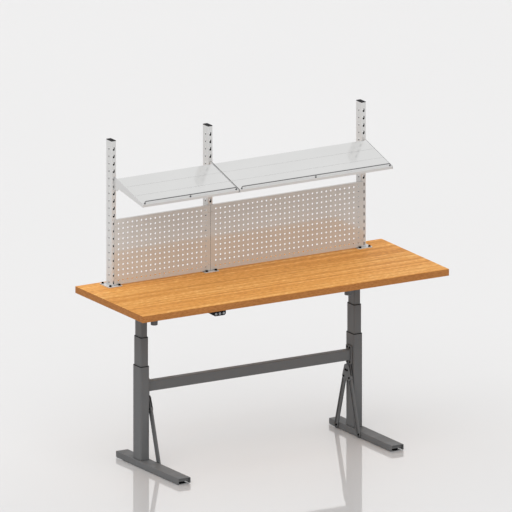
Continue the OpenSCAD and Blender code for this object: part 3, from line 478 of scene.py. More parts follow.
@dataclass(frozen=True)
class TreatedSteel(Finish):
    """Machined steel, zinc plated or black oxidised: fine turning marks under a thin tinted layer.

    Real turning marks are about 0.1 mm apart. They are drawn 0.4 mm apart, so that they show.
    """

    colour: str
    roughness: float
    metallic: float = 1.0
    specular: float = 0.5
    drift: float = 0.15
    gloss: Span = (0.8, 1.25)
    relief_mm: float = 0.015
    relief_shows: float = 0.4
    bloom: Pattern = Pattern((9, 9, 14), 3.0, 0.5)
    turning: Pattern = Pattern((3, 3, 0.4))

    def build(self) -> Material:
        """Builds the material.

        Returns:
            The material.
        """
        paint = Paint(self.name)
        marks = paint.noise(self.turning)
        shine, depth = [self.roughness * g for g in self.gloss], self.relief_mm * MM
        return paint.close(
            Base_Color=paint.tone(self.colour, self.drift, self.bloom),
            Roughness=paint.add(STRETCH, marks, *NOISE_CORE, *shine),
            Normal=paint.add("ShaderNodeBump", self.relief_shows, depth, Height=marks),
            Metallic=self.metallic,
            Specular_IOR_Level=self.specular,
        )


@dataclass(frozen=True)
class SealedFloor(Finish):
    """Poured resin floor, sealed and polished: pale, with soft reflections that fade with distance.

    It is a little darker towards the front: a painted shade.
    """

    colour: str
    roughness: float
    lacquer_roughness: float
    drift: float = 0.007
    front_shade_gain: float = 0.9
    front_shade_y: Span = (0.9, -0.5)
    ior: float = 1.5
    specular: float = 0.9
    lacquer_ior: float = 2.0
    clouds: Pattern = Pattern((2600, 2600, 2600))

    def build(self) -> Material:
        """Builds the material.

        Returns:
            The material.
        """
        paint = Paint(self.name)
        tone = paint.tone(self.colour, self.drift, self.clouds)
        front_shade = paint.add("ShaderNodeSeparateXYZ", paint.place).outputs["Y"]
        front_shade = paint.add(STRETCH, front_shade, *self.front_shade_y)
        # Painted shade: the floor darkens towards the front.
        dark = linear(self.colour, self.front_shade_gain)
        return paint.close(
            Base_Color=paint.add(MIX, front_shade, tone, dark, **COLOURS),
            Roughness=self.roughness,
            IOR=self.ior,
            Specular_IOR_Level=self.specular,
            Coat_Weight=1.0,
            Coat_IOR=self.lacquer_ior,
            Coat_Roughness=self.lacquer_roughness,
        )


class Slot(Enum):
    """The record's material slots, which name the desk's finishes."""

    GRAPHITE = "graphite_powder_coat"
    BLACK_COAT = "black_powder_coat"
    LIGHT_GREY = "light_grey_powder_coat"
    WARM_GREY = "warm_grey_powder_coat"
    WOOD = "wood_laminate"
    BLACK_PLASTIC = "black_plastic"
    GREY_PLASTIC = "grey_button_plastic"
    BLACK_STEEL = "black_steel"
    ZINC_STEEL = "zinc_steel"
    WIRE = "wire_steel"
    DRIVE = "drive_alloy"


FINISHES = {
    Slot.GRAPHITE: PowderCoat(
        "graphite_powder_coat", "#6d6e6f", 0.48, specular=0.18, cloud=0.03, worn_lit_edge_gain=0.05
    ),
    Slot.BLACK_COAT: PowderCoat("black_powder_coat", "#2c2c2d", 0.45, worn_lit_edge_gain=0.06),
    Slot.LIGHT_GREY: PowderCoat(
        "light_grey_powder_coat", "#d3d3d2", 0.16, specular=0.7, coat=1.0, cloud=0.015, worn_lit_edge_gain=0.25
    ),
    Slot.WARM_GREY: PowderCoat(
        "warm_grey_powder_coat", "#d1d0cd", 0.14, specular=1.0, coat=0.7, cloud=0.02, worn_lit_edge_gain=0.2
    ),
    Slot.WOOD: WoodLaminate(
        "wood_laminate", ("#cf8a44", "#e39e4f", "#edac5e", "#ffd086"), "#b67a44", "#8d5527"
    ),
    Slot.BLACK_PLASTIC: MouldedPlastic("black_moulded_plastic", "#0d0d0f", 0.5, specular=0.06),
    Slot.GREY_PLASTIC: MouldedPlastic("grey_button_plastic", "#929497", 0.35, grain_mm=0.5),
    Slot.BLACK_STEEL: TreatedSteel(
        "black_oxide_steel", "#0c0c0d", 0.5, metallic=0.0, specular=0.08
    ),
    Slot.ZINC_STEEL: TreatedSteel("zinc_plated_steel", "#a9abad", 0.34),
    Slot.WIRE: PowderCoat("dip_coated_wire", "#68696b", 0.3, coat=0.3, cloud=0.02, worn_lit_edge_gain=0.1),
    Slot.DRIVE: PowderCoat("drive_housing_paint", "#5a5b5d", 0.4, worn_lit_edge_gain=0.08),
}


def put_on(piece: Object, material: Material) -> None:
    """Puts a material on a piece, in place of its old ones."""
    piece.data.materials.clear()
    piece.data.materials.append(material)


@dataclass
class PaintShop:
    """Holds one material for each slot, and dresses the CAD nodes."""

    made: dict[Slot, Material] = field(default_factory=dict)
    post_grey: str = "#dcdcdb"

    def build(self) -> None:
        """Builds every material."""
        for slot, finish in FINISHES.items():
            self.made[slot] = finish.build()

    def dress_nodes(self) -> int:
        """Puts on each CAD node the finish that the record gives it.

        Returns:
            How many nodes were dressed.
        """
        nodes, rows = FRAME["nodes"], FRAME["record"]["subparts"]
        for row in rows:
            put_on(nodes[row["node"]], self.made[Slot(row["material_slot"])])
        for name in POSTS:
            low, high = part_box(name)
            middle = (low + high) / 2
            coat = TubeCoat(
                name + "_coat", self.post_grey, 0.2,
                cloud=0.015, worn_lit_edge_gain=0.25, centre=(middle.x, middle.y),
            )
            put_on(nodes[name], coat.build())
        return len(rows)


# ---- Meshes and geometry node trees


def new_object(data: ID) -> Object:
    """Links a mesh, lamp or camera to the scene, as an object of its name at the origin.

    Args:
        data: The mesh, lamp or camera.

    Returns:
        The object.
    """
    made = bpy.data.objects.new(data.name, data)
    bpy.context.scene.collection.objects.link(made)
    return made


def path_mesh(name: str, runs: Sequence[Sequence[Vector]], closed: bool) -> Mesh:
    """Makes a mesh of edges, as the seed of a geometry node tree.

    Args:
        name: The mesh's name.
        runs: One or more lists of points.
        closed: Whether each run ends where it starts.

    Returns:
        The mesh.
    """
    points: list[Vector] = []
    edges: list[tuple[int, int]] = []
    for run in runs:
        first, count = len(points), len(run)
        points.extend(run)
        edges += [(first + i, first + (i + 1) % count) for i in range(count - (not closed))]
    mesh = bpy.data.meshes.new(name)
    mesh.from_pydata(points, edges, [])
    return mesh


def point_mesh(name: str, places: Sequence[tuple[Vector, Vector]]) -> Mesh:
    """Makes a mesh of points, each with the direction that its instance faces.

    Args:
        name: The mesh's name.
        places: Pairs of point and direction.

    Returns:
        The mesh, with the attribute "axis".
    """
    mesh = bpy.data.meshes.new(name)
    mesh.from_pydata([point for point, _ in places], [], [])
    axis = mesh.attributes.new("axis", "FLOAT_VECTOR", "POINT")
    axis.data.foreach_set("vector", [c for _, facing in places for c in facing])
    return mesh


class GeometryTree(Tree):
    """A geometry node tree with named inputs. It ends in Realize Instances and Set Material."""

    kinds = {float: "Float", int: "Int", tuple: "Vector", type(None): "Object"}

    def __init__(self, name: str, sizes: dict[str, Any]) -> None:
        """Starts the tree.

        Args:
            name: The tree's name.
            sizes: Name of each input, with its default, or None for an object.
        """
        super().__init__(bpy.data.node_groups.new(name, "GeometryNodeTree"))
        face = self.tree.interface
        face.new_socket("Geometry", in_out="INPUT", socket_type="NodeSocketGeometry")
        for label, default in sizes.items():
            kind = "NodeSocket" + self.kinds[type(default)]
            socket = face.new_socket(label, in_out="INPUT", socket_type=kind)
            if default is not None:
                socket.default_value = default
        face.new_socket("Material", in_out="INPUT", socket_type="NodeSocketMaterial")
        face.new_socket("Geometry", in_out="OUTPUT", socket_type="NodeSocketGeometry")
        self.sizes = self.add("NodeGroupInput").outputs

    def close(self, geometry: Node) -> GeometryTree:
        """Ends the tree.

        Args:
            geometry: What the tree has made.

        Returns:
            The tree itself.
        """
        real = self.add("GeometryNodeRealizeInstances", geometry)
        painted = self.add("GeometryNodeSetMaterial", real, Material=self.sizes["Material"])
        self.add("NodeGroupOutput", painted)
        return self

    def grow(self, seed: Mesh, material: Material, sizes: dict[str, Any]) -> Object:
        """Runs the tree on a seed and keeps the result as a plain mesh.

        Args:
            seed: Mesh that the tree starts from, with the piece's name.
            material: The piece's material.
            sizes: Values of the named inputs.

        Returns:
            The piece, without a modifier.
        """
        piece = new_object(seed)
        modifier = piece.modifiers.new("grow", "NODES")
        modifier.node_group = self.tree
        values = {**sizes, "Material": material}
        for item in self.tree.interface.items_tree:
            if item.in_out == "INPUT" and item.name in values:
                modifier[item.identifier] = values[item.name]
        bpy.context.view_layer.update()
        graph = bpy.context.evaluated_depsgraph_get()
        mesh = bpy.data.meshes.new_from_object(piece.evaluated_get(graph))
        piece.modifiers.remove(modifier)
        piece.data = mesh
        bpy.data.meshes.remove(seed)
        mesh.name = piece.name
        return piece


def fastener_tree() -> GeometryTree:
    """Makes the tree that sets a fastener on each point, facing along the point's axis.

    Returns:
        The tree.
    """
    made = GeometryTree("set_fasteners", {"Fastener": None, "Turn seed": 7})
    axis = made.add("GeometryNodeInputNamedAttribute", "axis", data_type="FLOAT_VECTOR")
    aligned = made.add("FunctionNodeAlignRotationToVector", Vector=axis, axis="Z")
    turn = made.add("FunctionNodeRandomValue", 0.0, FULL_TURN, Seed=made.sizes["Turn seed"])
    spin = made.add("FunctionNodeAxisAngleToRotation", UPWARDS, turn)
    turned = made.add("FunctionNodeRotateRotation", aligned, spin, rotation_space="LOCAL")
    shape = made.add("GeometryNodeObjectInfo", made.sizes["Fastener"]).outputs["Geometry"]
    points = made.sizes["Geometry"]
    return made.close(
        made.add("GeometryNodeInstanceOnPoints", points, Instance=shape, Rotation=turned)
    )


def wire_tree() -> GeometryTree:
    """Makes the tree that bends round wire along a path of straight runs.

    Returns:
        The tree.
    """
    made = GeometryTree("bend_wire", {"Wire radius": 3 * MM, "Bend radius": 8 * MM})
    path = made.add("GeometryNodeMeshToCurve", made.sizes["Geometry"])
    bend = made.sizes["Bend radius"]
    bent = made.add("GeometryNodeFilletCurve", path, Radius=bend, Count=8, mode="POLY")
    wire = made.sizes["Wire radius"]
    section = made.add("GeometryNodeCurvePrimitiveCircle", Resolution=16, Radius=wire)
    return made.close(made.add("GeometryNodeCurveToMesh", bent, section, Fill_Caps=True))


def weld_tree() -> GeometryTree:
    """Makes the tree that lays a rippled weld bead along a closed path.

    Returns:
        The tree.
    """
    sizes = {"Bead radius": 2 * MM, "Corner radius": 3 * MM, "Ripple": 4 * MM, "Swell": 0.16}
    made = GeometryTree("lay_weld", sizes)
    ripple = made.sizes["Ripple"]
    path = made.add("GeometryNodeMeshToCurve", made.sizes["Geometry"])
    corner = made.sizes["Corner radius"]
    bent = made.add("GeometryNodeFilletCurve", path, Radius=corner, Count=4, mode="POLY")
    step = made.add(MATH, ripple, 4.0, operation="DIVIDE")  # sections to a ripple
    fine = made.add("GeometryNodeResampleCurve", bent, Length=step, mode="LENGTH")
    along = made.add("GeometryNodeSplineParameter").outputs["Length"]
    count = made.add(MATH, along, ripple, operation="DIVIDE")
    phase = made.add(MATH, count, FULL_TURN, operation="MULTIPLY")
    wave = made.add(MATH, phase, operation="SINE")
    swell = made.add(MATH, wave, made.sizes["Swell"], 1.0, operation="MULTIPLY_ADD")
    bead = made.sizes["Bead radius"]
    section = made.add("GeometryNodeCurvePrimitiveCircle", Resolution=8, Radius=bead)
    return made.close(made.add("GeometryNodeCurveToMesh", fine, section, swell))


def thread_tree() -> GeometryTree:
    """Makes the tree that winds a thread round the stem of the shape that it starts from.

    Returns:
        The tree.
    """
    sizes = {
        "Stem radius": 5 * MM, "Pitch": 1.5 * MM, "Length": 20 * MM, "Start": (0.0, 0.0, 0.0),
    }
    made = GeometryTree("cut_thread", sizes)
    stem, pitch, length = (made.sizes[label] for label in ("Stem radius", "Pitch", "Length"))
    turns = made.add(MATH, length, pitch, operation="DIVIDE")
    spiral = made.add("GeometryNodeCurveSpiral", 20, turns, stem, stem, length)
    ridge = made.add(MATH, pitch, 0.45, operation="MULTIPLY")  # just short of the next turn
    section = made.add("GeometryNodeCurvePrimitiveCircle", Resolution=4, Radius=ridge)
    wound = made.add("GeometryNodeCurveToMesh", spiral, section, Fill_Caps=True)
    placed = made.add("GeometryNodeTransform", wound, made.sizes["Start"])
    both = made.add("GeometryNodeJoinGeometry", placed)
    made.plug(both.inputs[0], made.sizes["Geometry"])
    return made.close(both)


class Outline(Enum):
    """Outlines that a turned or forged piece has at one height."""

    ROUND = "round"
    HEXAGON = "hexagon"
    CROSS = "cross"

    def share(self, angle: float) -> float:
        """Gives how far the outline reaches at an angle, as a share of its radius.

        Args:
            angle: The angle, in radians.

        Returns:
            The share, up to 1.
        """
        if self is Outline.HEXAGON:
            sector = math.pi / 3
            return math.cos(sector / 2) / math.cos((angle % sector) - sector / 2)
        if self is Outline.CROSS:
            return 0.62 + 0.38 * math.cos(4 * angle)  # 1 on the arms, 0.24 between them
        return 1.0


@dataclass(frozen=True)
class Ring:
    """One level of a turned piece: its radius and height in millimetres, and its outline."""

    radius: float
    height: float
    outline: Outline = Outline.ROUND

    def points(self, sides: int) -> list[tuple[float, float, float]]:
        """Places the ring's corners round Z.

        Args:
            sides: Number of corners.

        Returns:
            The corners, in metres.
        """
        found = []
        for i in range(sides):
            angle = FULL_TURN * i / sides
            reach = self.radius * self.outline.share(angle) * MM
            found.append((reach * math.cos(angle), reach * math.sin(angle), self.height * MM))
        return found


def turned_mesh(
    name: str, rings: Sequence[Ring], sides: int, place: Matrix = Matrix.Identity(4)
) -> Mesh:
    """Skins a stack of rings and closes both ends.

    Args:
        name: The mesh's name.
        rings: The levels, from the one end to the other.
        sides: Corners of each ring.
        place: Where the piece goes.

    Returns:
        The mesh, with its faces outwards.
    """
    shape = bmesh.new()
    rows = [[shape.verts.new(p) for p in ring.points(sides)] for ring in rings]
    for low, high in zip(rows, rows[1:]):
        for i in range(sides):
            k = (i + 1) % sides
            shape.faces.new((low[i], low[k], high[k], high[i]))
    shape.faces.new(rows[0][::-1])
    shape.faces.new(rows[-1])
    bmesh.ops.recalc_face_normals(shape, faces=shape.faces)
    bmesh.ops.transform(shape, matrix=place, verts=shape.verts)
    mesh = bpy.data.meshes.new(name)
    shape.to_mesh(mesh)
    shape.free()
    mesh.shade_smooth()
    mesh.set_sharp_from_angle(angle=math.radians(SHARP_DEG))
    return mesh


def solids_of(node: str) -> list[tuple[Vector, Vector]]:
    """Finds the separate solids in a CAD node.

    Args:
        node: The node's name.

    Returns:
        The lowest and highest corner of each solid.
    """
    shape = bmesh.new()
    shape.from_mesh(FRAME["nodes"][node].data)
    bmesh.ops.remove_doubles(shape, verts=shape.verts, dist=MM / 1000)
    waiting = set(shape.verts)
    boxes = []
    while waiting:
        front = [waiting.pop()]
        group = []
        while front:
            vert = front.pop()
            group.append(vert.co.copy())
            found = {edge.other_vert(vert) for edge in vert.link_edges} & waiting
            waiting -= found
            front.extend(found)
        spans = list(zip(*group))
        boxes.append((Vector([min(s) for s in spans]), Vector([max(s) for s in spans])))
    shape.free()
    return sorted(boxes, key=lambda box: tuple(round(c, 4) for c in box[0]))


# ---- Sub-assemblies


@dataclass
class SubAssembly:
    """What every sub-assembly shares: the materials, and the last step of each made piece."""

    shop: PaintShop

    def finish(self, piece: Object, body: str, slot: Slot, *replaced: str) -> None:
        """Dresses a made piece, fastens it to its body and reports it.

        Args:
            piece: The piece, in place.
            body: The CAD body that it rides on.
            slot: Its finish.
            replaced: CAD nodes that it stands for.
        """
        put_on(piece, self.shop.made[slot])
        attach(piece, body)
        for node in replaced:
            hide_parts(node)
        LOG.info("%s: %d faces on %s", piece.name, len(piece.data.polygons), body)


class Facing(Enum):
    """Where a fastener's head faces."""

    UP = UPWARDS
    DOWN = (0.0, 0.0, -1.0)
    FRONT = (0.0, -1.0, 0.0)
    INWARD = "to the desk's middle"

    def axis(self, place: Vector) -> Vector:
        """Gives the direction at a place."""
        inward = (-math.copysign(1.0, place.x), 0.0, 0.0)
        return Vector(inward if self is Facing.INWARD else self.value)


# Levels of a fastener's head, in shares of its radius and height
CROWN_RIM = ((1.0, 0.45), (0.93, 0.72))
CROWN_TOP = ((0.8, 0.9), (0.62, 1.0))
FLAT_TOP = ((1.0, 0.9), (0.93, 1.0))
RECESS = ((0.5, 1.0), (0.46, 0.42))


@dataclass(frozen=True)
class Fastener:
    """A screw or bolt: sizes in millimetres from the seat of its head, which is its origin."""

    head_r: float
    head_h: float
    shank_r: float
    head: Outline = Outline.ROUND
    drive: Outline = Outline.HEXAGON
    washer_r: float = 0.0
    washer_h: float = 0.9
    nut: bool = False
    nut_span: Span = (0.7, 5.0)  # above the shank's end
    crowned: bool = True
    chamfer: float = 0.6
    tip: float = 0.7  # share of the shank's radius
    nut_bevel: float = 0.92  # share of the head's radius
    sides: int = 24

    def mesh(self, name: str, shank_l: float) -> Mesh:
        """Builds the fastener along +Z, head up.

        Args:
            name: The mesh's name.
            shank_l: Length of the shank below the seat.

        Returns:
            The mesh.
        """
        r, h, shank = self.head_r, self.head_h, self.shank_r
        rings = [Ring(shank * self.tip, -shank_l), Ring(shank, self.chamfer - shank_l)]
        if self.nut:
            low, high = (z - shank_l for z in self.nut_span)
            rings += [Ring(shank, low), Ring(r * self.nut_bevel, low)]
            rings += [Ring(r, z, Outline.HEXAGON) for z in (low + self.chamfer, high)]
            rings.append(Ring(shank, high))
        rings.append(Ring(shank, 0.0))
        seat = 0.0
        if self.washer_r:
            seat = self.washer_h
            rings += [Ring(self.washer_r, 0.0), Ring(self.washer_r, seat)]
        rings.append(Ring(r, seat, self.head))
        top = [(CROWN_RIM, self.head), (CROWN_TOP, Outline.ROUND)]
        if not self.crowned:
            top = [(FLAT_TOP, Outline.ROUND)]
        for levels, outline in (*top, (RECESS, self.drive)):
            rings += [Ring(r * radius, h * height, outline) for radius, height in levels]
        return turned_mesh(name, rings, self.sides)


HEX_BOLT = Fastener(6.0, 5.0, 4.0, head=Outline.HEXAGON, drive=Outline.ROUND, washer_r=6.5)
NUTTED_BOLT = replace(HEX_BOLT, nut=True)


@dataclass(frozen=True)
class FastenerSet:
    """Fasteners that stand where a CAD node's solids do, and replace them."""

    name: str
    node: str
    fastener: Fastener
    heights: Span = (0.0, 2.0)  # where the middles of its solids lie
    body: str = "base"
    slot: Slot = Slot.BLACK_STEEL
    facing: Facing = Facing.INWARD


@dataclass
class Fasteners(SubAssembly):
    """All visible screws and bolts."""

    sets: tuple[FastenerSet, ...] = (
        FastenerSet(
            "post_base_socket_screws", "post_base_screws",
            Fastener(6.5, 8.0, 4.0, washer_r=7.9, crowned=False), body="top", facing=Facing.UP,
        ),
        FastenerSet(
            "panel_pan_screws", "panel_screws", Fastener(3.0, 1.4, 1.5, drive=Outline.CROSS),
            body="top", slot=Slot.WARM_GREY, facing=Facing.FRONT,
        ),
        FastenerSet(
            "frame_pan_screws", "frame_screws", Fastener(4.5, 2.5, 2.5, drive=Outline.CROSS),
            body="top", slot=Slot.ZINC_STEEL, facing=Facing.DOWN,
        ),
        FastenerSet(
            "crossbar_socket_screws", "crossbar_screws", Fastener(5.5, 3.3, 3.0, crowned=False)
        ),
        FastenerSet("lug_bolts", "brace_bolts", HEX_BOLT, (0.35, 0.4)),
        FastenerSet("gusset_bolts", "brace_bolts", NUTTED_BOLT, (0.3, 0.349)),
        FastenerSet("brace_foot_bolts", "brace_bolts", NUTTED_BOLT, (0.0, 0.1)),
    )

    def build(self) -> None:
        """Builds every set."""
        tree = fastener_tree()
        for item in self.sets:
            self.fit(item, tree)

    def fit(self, item: FastenerSet, tree: GeometryTree) -> None:
        """Builds one set.

        Args:
            item: The set.
            tree: The tree of fastener_tree().
        """
        places, length = [], 0.0
        for low, high in solids_of(item.node):
            middle = (low + high) / 2
            if not item.heights[0] <= middle.z <= item.heights[1]:
                continue
            axis = item.facing.axis(middle)
            reach = abs((high - low).dot(axis))
            length = max(length, reach / MM - item.fastener.head_h)
            places.append((middle + axis * (reach / 2 - item.fastener.head_h * MM), axis))
        shape = new_object(item.fastener.mesh(item.name + "_shape", length))
        piece = tree.grow(
            point_mesh(item.name, places), self.shop.made[item.slot],
            {"Fastener": shape, "Turn seed": 11 + len(places)},
        )
        bpy.data.objects.remove(shape)
        self.finish(piece, item.body, item.slot, item.node)


@dataclass
class Welds(SubAssembly):
    """Weld beads where the crossbar meets its end plates and each post meets its base plate."""

    crossbar_d: float = 40 * MM
    crossbar_h: float = 60 * MM
    crossbar_r: float = 4 * MM
    crossbar_drop: float = 52 * MM
    crossbar_bead_r: float = 2.2 * MM
    end_plate_t: float = 8 * MM
    post_w: float = 30 * MM
    post_d: float = 60 * MM
    post_r: float = 3 * MM
    post_bead_r: float = 1.6 * MM
    base_t: float = 5 * MM
    ripple: float = 3.2 * MM
    swell: float = 0.16

    def build(self) -> None:
        """Lays the beads."""
        low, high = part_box("crossbar")
        y, z = (low.y + high.y) / 2, high.z - self.crossbar_drop
        half_d, half_h = self.crossbar_d / 2, self.crossbar_h / 2
        bars = [
            [Vector((x, y + s * half_d, z + k * half_h)) for s, k in CORNERS]
            for x in (low.x + self.end_plate_t, high.x - self.end_plate_t)
        ]
        posts = []
        for name in POSTS:
            low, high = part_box(name)
            x, y, _ = (low + high) / 2
            half_w, half_d = self.post_w / 2, self.post_d / 2
            z = low.z + self.base_t
            posts.append([Vector((x + s * half_w, y + k * half_d, z)) for s, k in CORNERS])
        tree = weld_tree()
        for name, body, slot, runs, bead_r, corner_r in (
            ("crossbar_welds", "base", Slot.GRAPHITE, bars, self.crossbar_bead_r, self.crossbar_r),
            ("post_welds", "top", Slot.LIGHT_GREY, posts, self.post_bead_r, self.post_r),
        ):
            piece = tree.grow(
                path_mesh(name, runs, True), self.shop.made[slot],
                {
                    "Bead radius": bead_r, "Corner radius": corner_r,
                    "Ripple": self.ripple, "Swell": self.swell,
                },
            )
            piece.data.shade_smooth()
            self.finish(piece, body, slot)


@dataclass
class StopRails(SubAssembly):
    """Bent wire rails along the shelves' front edges, on three legs each, with moulded grommets."""

    wire_r: float = 3 * MM
    bend_r: float = 8 * MM
    rise: float = 15 * MM
    foot: float = 9 * MM
    tilt_deg: float = 16.0
    wire_sharp_deg: float = 50.0
    grommet_r: float = 5 * MM
    grommet_sides: int = 20
    grommet: tuple[Ring, ...] = (
        Ring(3.2, -9), Ring(5, -8.4), Ring(5, -1.6), Ring(4, -1.5),  # below the shelf's face
        Ring(4, 0.1), Ring(5.4, 0.2), Ring(5.2, 1.2), Ring(3.6, 2.2),
    )

    def build(self) -> None:
        """Builds both rails and their grommets."""
        wire, fastening = wire_tree(), fastener_tree()
        for side in ("left", "right"):
            node = side + "_stop_rail"
            low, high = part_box(node)
            legs = [low.x + self.grommet_r, (low.x + high.x) / 2, high.x - self.grommet_r]
            place = self.placed(low, high)
            (first, middle, last), foot, rise = legs, -self.foot, self.rise
            outer = ((first, foot), (first, rise), (last, rise), (last, foot))
            inner = ((middle, foot), (middle, rise))
            runs = [[place @ Vector((x, 0.0, z)) for x, z in run] for run in (outer, inner)]
            rail = wire.grow(
                path_mesh(side + "_stop_wire", runs, False), self.shop.made[Slot.WIRE],
                {"Wire radius": self.wire_r, "Bend radius": self.bend_r},
            )
            rail.data.shade_smooth()
            rail.data.set_sharp_from_angle(angle=math.radians(self.wire_sharp_deg))
            self.finish(rail, "top", Slot.WIRE, node)
            shape = new_object(turned_mesh(node + "_shape", self.grommet, self.grommet_sides))
            up = (place.to_3x3() @ Vector(UPWARDS)).normalized()
            spots = [(place @ Vector((x, 0.0, 0.0)), up) for x in legs]
            caps = fastening.grow(
                point_mesh(side + "_rail_grommets", spots), self.shop.made[Slot.BLACK_PLASTIC],
                {"Fastener": shape, "Turn seed": 3},
            )
            bpy.data.objects.remove(shape)
            self.finish(caps, "top", Slot.BLACK_PLASTIC)

    def placed(self, low: Vector, high: Vector) -> Matrix:
        """Finds the shelf face under a rail from the rail's own box.

        Args:
            low: The rail's lowest corner.
            high: The rail's highest corner.

        Returns:
            Matrix whose origin is where the legs' middle lines meet the face.
        """
        tilt = math.radians(self.tilt_deg)
        top = Vector((0.0, low.y + self.wire_r, high.z - self.wire_r))
        drop = Vector((0.0, math.sin(tilt), -math.cos(tilt))) * self.rise
        return Matrix.Translation(top + drop) @ Matrix.Rotation(tilt, 4, "X")


@dataclass
class Glides(SubAssembly):
    """Levelling glides: a moulded pad, a hexagon to turn it by, and a threaded stem."""

    profile: tuple[Ring, ...] = (
        Ring(15.5, 0.35), Ring(16.4, 0.0), Ring(18.0, 0.0), Ring(19.7, 1.4), Ring(20.0, 2.6),
        Ring(20.0, 6.4), Ring(19.4, 7.5), Ring(18.0, 8.0), Ring(12.0, 8.1),  # top of the pad
        Ring(10.0, 8.2, Outline.HEXAGON), Ring(10.0, 13.1, Outline.HEXAGON), Ring(9.0, 13.7),
        Ring(4.6, 13.7), Ring(4.6, 31.2), Ring(3.8, 32.0),  # the stem
    )
    sides: int = 36
    stem_r: float = 4.6
    thread_from: float = 14.3
    thread_l: float = 16.1
    pitch: float = 1.5

    def build(self) -> None:
        """Builds the four glides, each on its own body."""
        tree = thread_tree()
        for corner in ("left_front", "left_back", "right_front", "right_back"):
            name = corner + "_glide"
            low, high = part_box(name)
            middle = (low + high) / 2
            place = Matrix.Translation((middle.x, middle.y, low.z))
            start = place @ Vector((0.0, 0.0, self.thread_from * MM))
            piece = tree.grow(
                turned_mesh(name + "_turned", self.profile, self.sides, place),
                self.shop.made[Slot.BLACK_PLASTIC],
                {
                    "Stem radius": self.stem_r * MM, "Pitch": self.pitch * MM,
                    "Length": self.thread_l * MM, "Start": start,
                },
            )
            self.finish(piece, name, Slot.BLACK_PLASTIC, name)


@dataclass(frozen=True)
class Sign:
    """A raised sign on a button: its corners, its turn, and its levels."""

    button: str
    sides: int
    turn_deg: float
    levels: tuple[Ring, ...]


TRIANGLE = (Ring(3.1, 4.85), Ring(3.1, 5.6), Ring(2.8, 5.72))
DOT = (Ring(1.5, 4.95), Ring(1.5, 5.6), Ring(1.2, 5.75))


@dataclass
class Buttons(SubAssembly):
    """Dished push buttons of the handset, with raised generic signs: up, down and a dot."""

    profile: tuple[Ring, ...] = (
        Ring(7.0, 0.0), Ring(7.3, 0.3), Ring(7.3, 5.0), Ring(6.9, 5.7), Ring(6.3, 6.0),
        Ring(5.5, 5.85), Ring(3.7, 5.4), Ring(1.2, 5.2),  # the dish
    )
    sides: int = 40
    signs: tuple[Sign, ...] = (
        Sign("up_button", 3, 90.0, TRIANGLE),
        Sign("down_button", 3, 270.0, TRIANGLE),
        Sign("memory_button", 20, 0.0, DOT),
    )

    def build(self) -> None:
        """Builds the three buttons and their signs, each button on its own body."""
        for sign in self.signs:
            name = sign.button
            low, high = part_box(name)
            middle = (low + high) / 2
            seat = Matrix.Translation((middle.x, high.y, middle.z))
            place = seat @ Matrix.Rotation(math.pi / 2, 4, "X")
            cap = turned_mesh(name + "_dished", self.profile, self.sides, place)
            self.finish(new_object(cap), name, Slot.GREY_PLASTIC, name)
            place = place @ Matrix.Rotation(math.radians(sign.turn_deg), 4, "Z")
            mark = turned_mesh(name + "_sign", sign.levels, sign.sides, place)
            self.finish(new_object(mark), name, Slot.BLACK_PLASTIC)


# ---- Studio


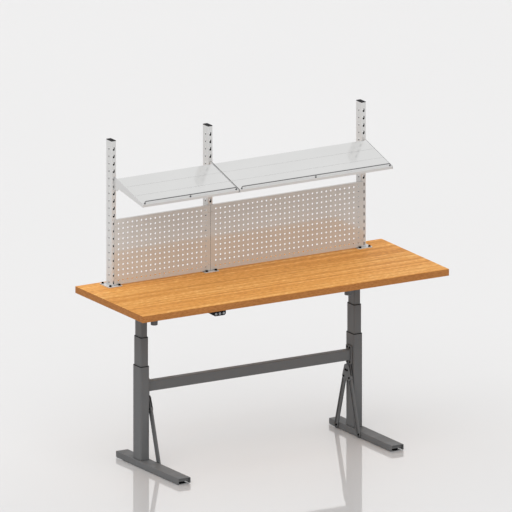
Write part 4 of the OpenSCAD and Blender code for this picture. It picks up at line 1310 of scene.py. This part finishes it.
@dataclass
class Studio:
    """Pale floor, soft light and the photograph's camera.

    The camera is orthographic, with its angles and scale from lines measured in the photograph.
    """

    azimuth_deg: float = 30.454
    elevation_deg: float = 15.33
    view_width: float = 2.8796
    shift_right: float = -0.03473
    shift_up: float = 1.11904
    distance: float = 20.0
    floor_half: float = 40.0
    ambient: float = 0.715
    backdrop: str = "#f3f3f3"
    key_strength: float = 1.12
    key_from: tuple[float, float, float] = (-0.36, -0.46, 0.81)
    key_angle_deg: float = 60.0

    def build(self) -> None:
        """Builds floor, world, lamp and camera."""
        self.floor()
        self.world()
        self.lamp()
        self.camera()
        bpy.context.scene.view_settings.view_transform = "Standard"

    def floor(self) -> None:
        """Lays the floor."""
        half = self.floor_half
        mesh = bpy.data.meshes.new("floor")
        mesh.from_pydata([(s * half, k * half, 0.0) for s, k in CORNERS], [], [(0, 1, 2, 3)])
        mesh.materials.append(SealedFloor("sealed_resin_floor", "#ecebeb", 0.48, 0.03).build())
        floor = new_object(mesh)

    def world(self) -> None:
        """Sets the world: soft light on surfaces, and a backdrop for camera and mirror rays."""
        world = bpy.data.worlds.new("studio")
        bpy.context.scene.world = world
        world.use_nodes = True
        sky = Tree(world.node_tree)
        sky.tree.nodes.clear()
        light = sky.add("ShaderNodeBackground", WHITE, self.ambient)
        shown = sky.add("ShaderNodeBackground", linear(self.backdrop), 1.0)
        rays = sky.add("ShaderNodeLightPath").outputs
        seen = rays["Is Camera Ray"]
        for label in ("Is Glossy Ray", "Is Transmission Ray"):
            seen = sky.add(MATH, seen, rays[label], operation="MAXIMUM")
        sky.add("ShaderNodeOutputWorld", sky.add("ShaderNodeMixShader", seen, light, shown))

    def lamp(self) -> None:
        """Hangs one wide soft lamp, up on the left."""
        data = bpy.data.lights.new("key", "SUN")
        data.energy = self.key_strength
        data.angle = math.radians(self.key_angle_deg)
        new_object(data).rotation_euler = Vector(self.key_from).to_track_quat("Z", "Y").to_euler()

    def camera(self) -> None:
        """Sets the camera."""
        turn, rise = math.radians(self.azimuth_deg), math.radians(self.elevation_deg)
        level = math.cos(rise)
        right = Vector((math.cos(turn), -math.sin(turn), 0.0))
        ahead = Vector((math.sin(turn) * level, math.cos(turn) * level, -math.sin(rise)))
        up = right.cross(ahead)
        data = bpy.data.cameras.new("camera")
        data.type = "ORTHO"
        data.ortho_scale = self.view_width
        camera = new_object(data)
        stand = right * self.shift_right + up * self.shift_up - ahead * self.distance
        aim = Matrix((right, up, -ahead)).transposed().to_4x4()
        camera.matrix_world = Matrix.Translation(stand) @ aim
        bpy.context.scene.camera = camera


def main() -> None:
    """Builds the scene, piece by piece."""
    logging.basicConfig(level=logging.INFO, format="%(name)s: %(message)s")
    Studio().build()
    shop = PaintShop()
    shop.build()
    LOG.info("dressed %d CAD nodes", shop.dress_nodes())
    for sub_assembly in (Fasteners, Welds, StopRails, Glides, Buttons):
        sub_assembly(shop).build()


if __name__ == "__main__":
    main()
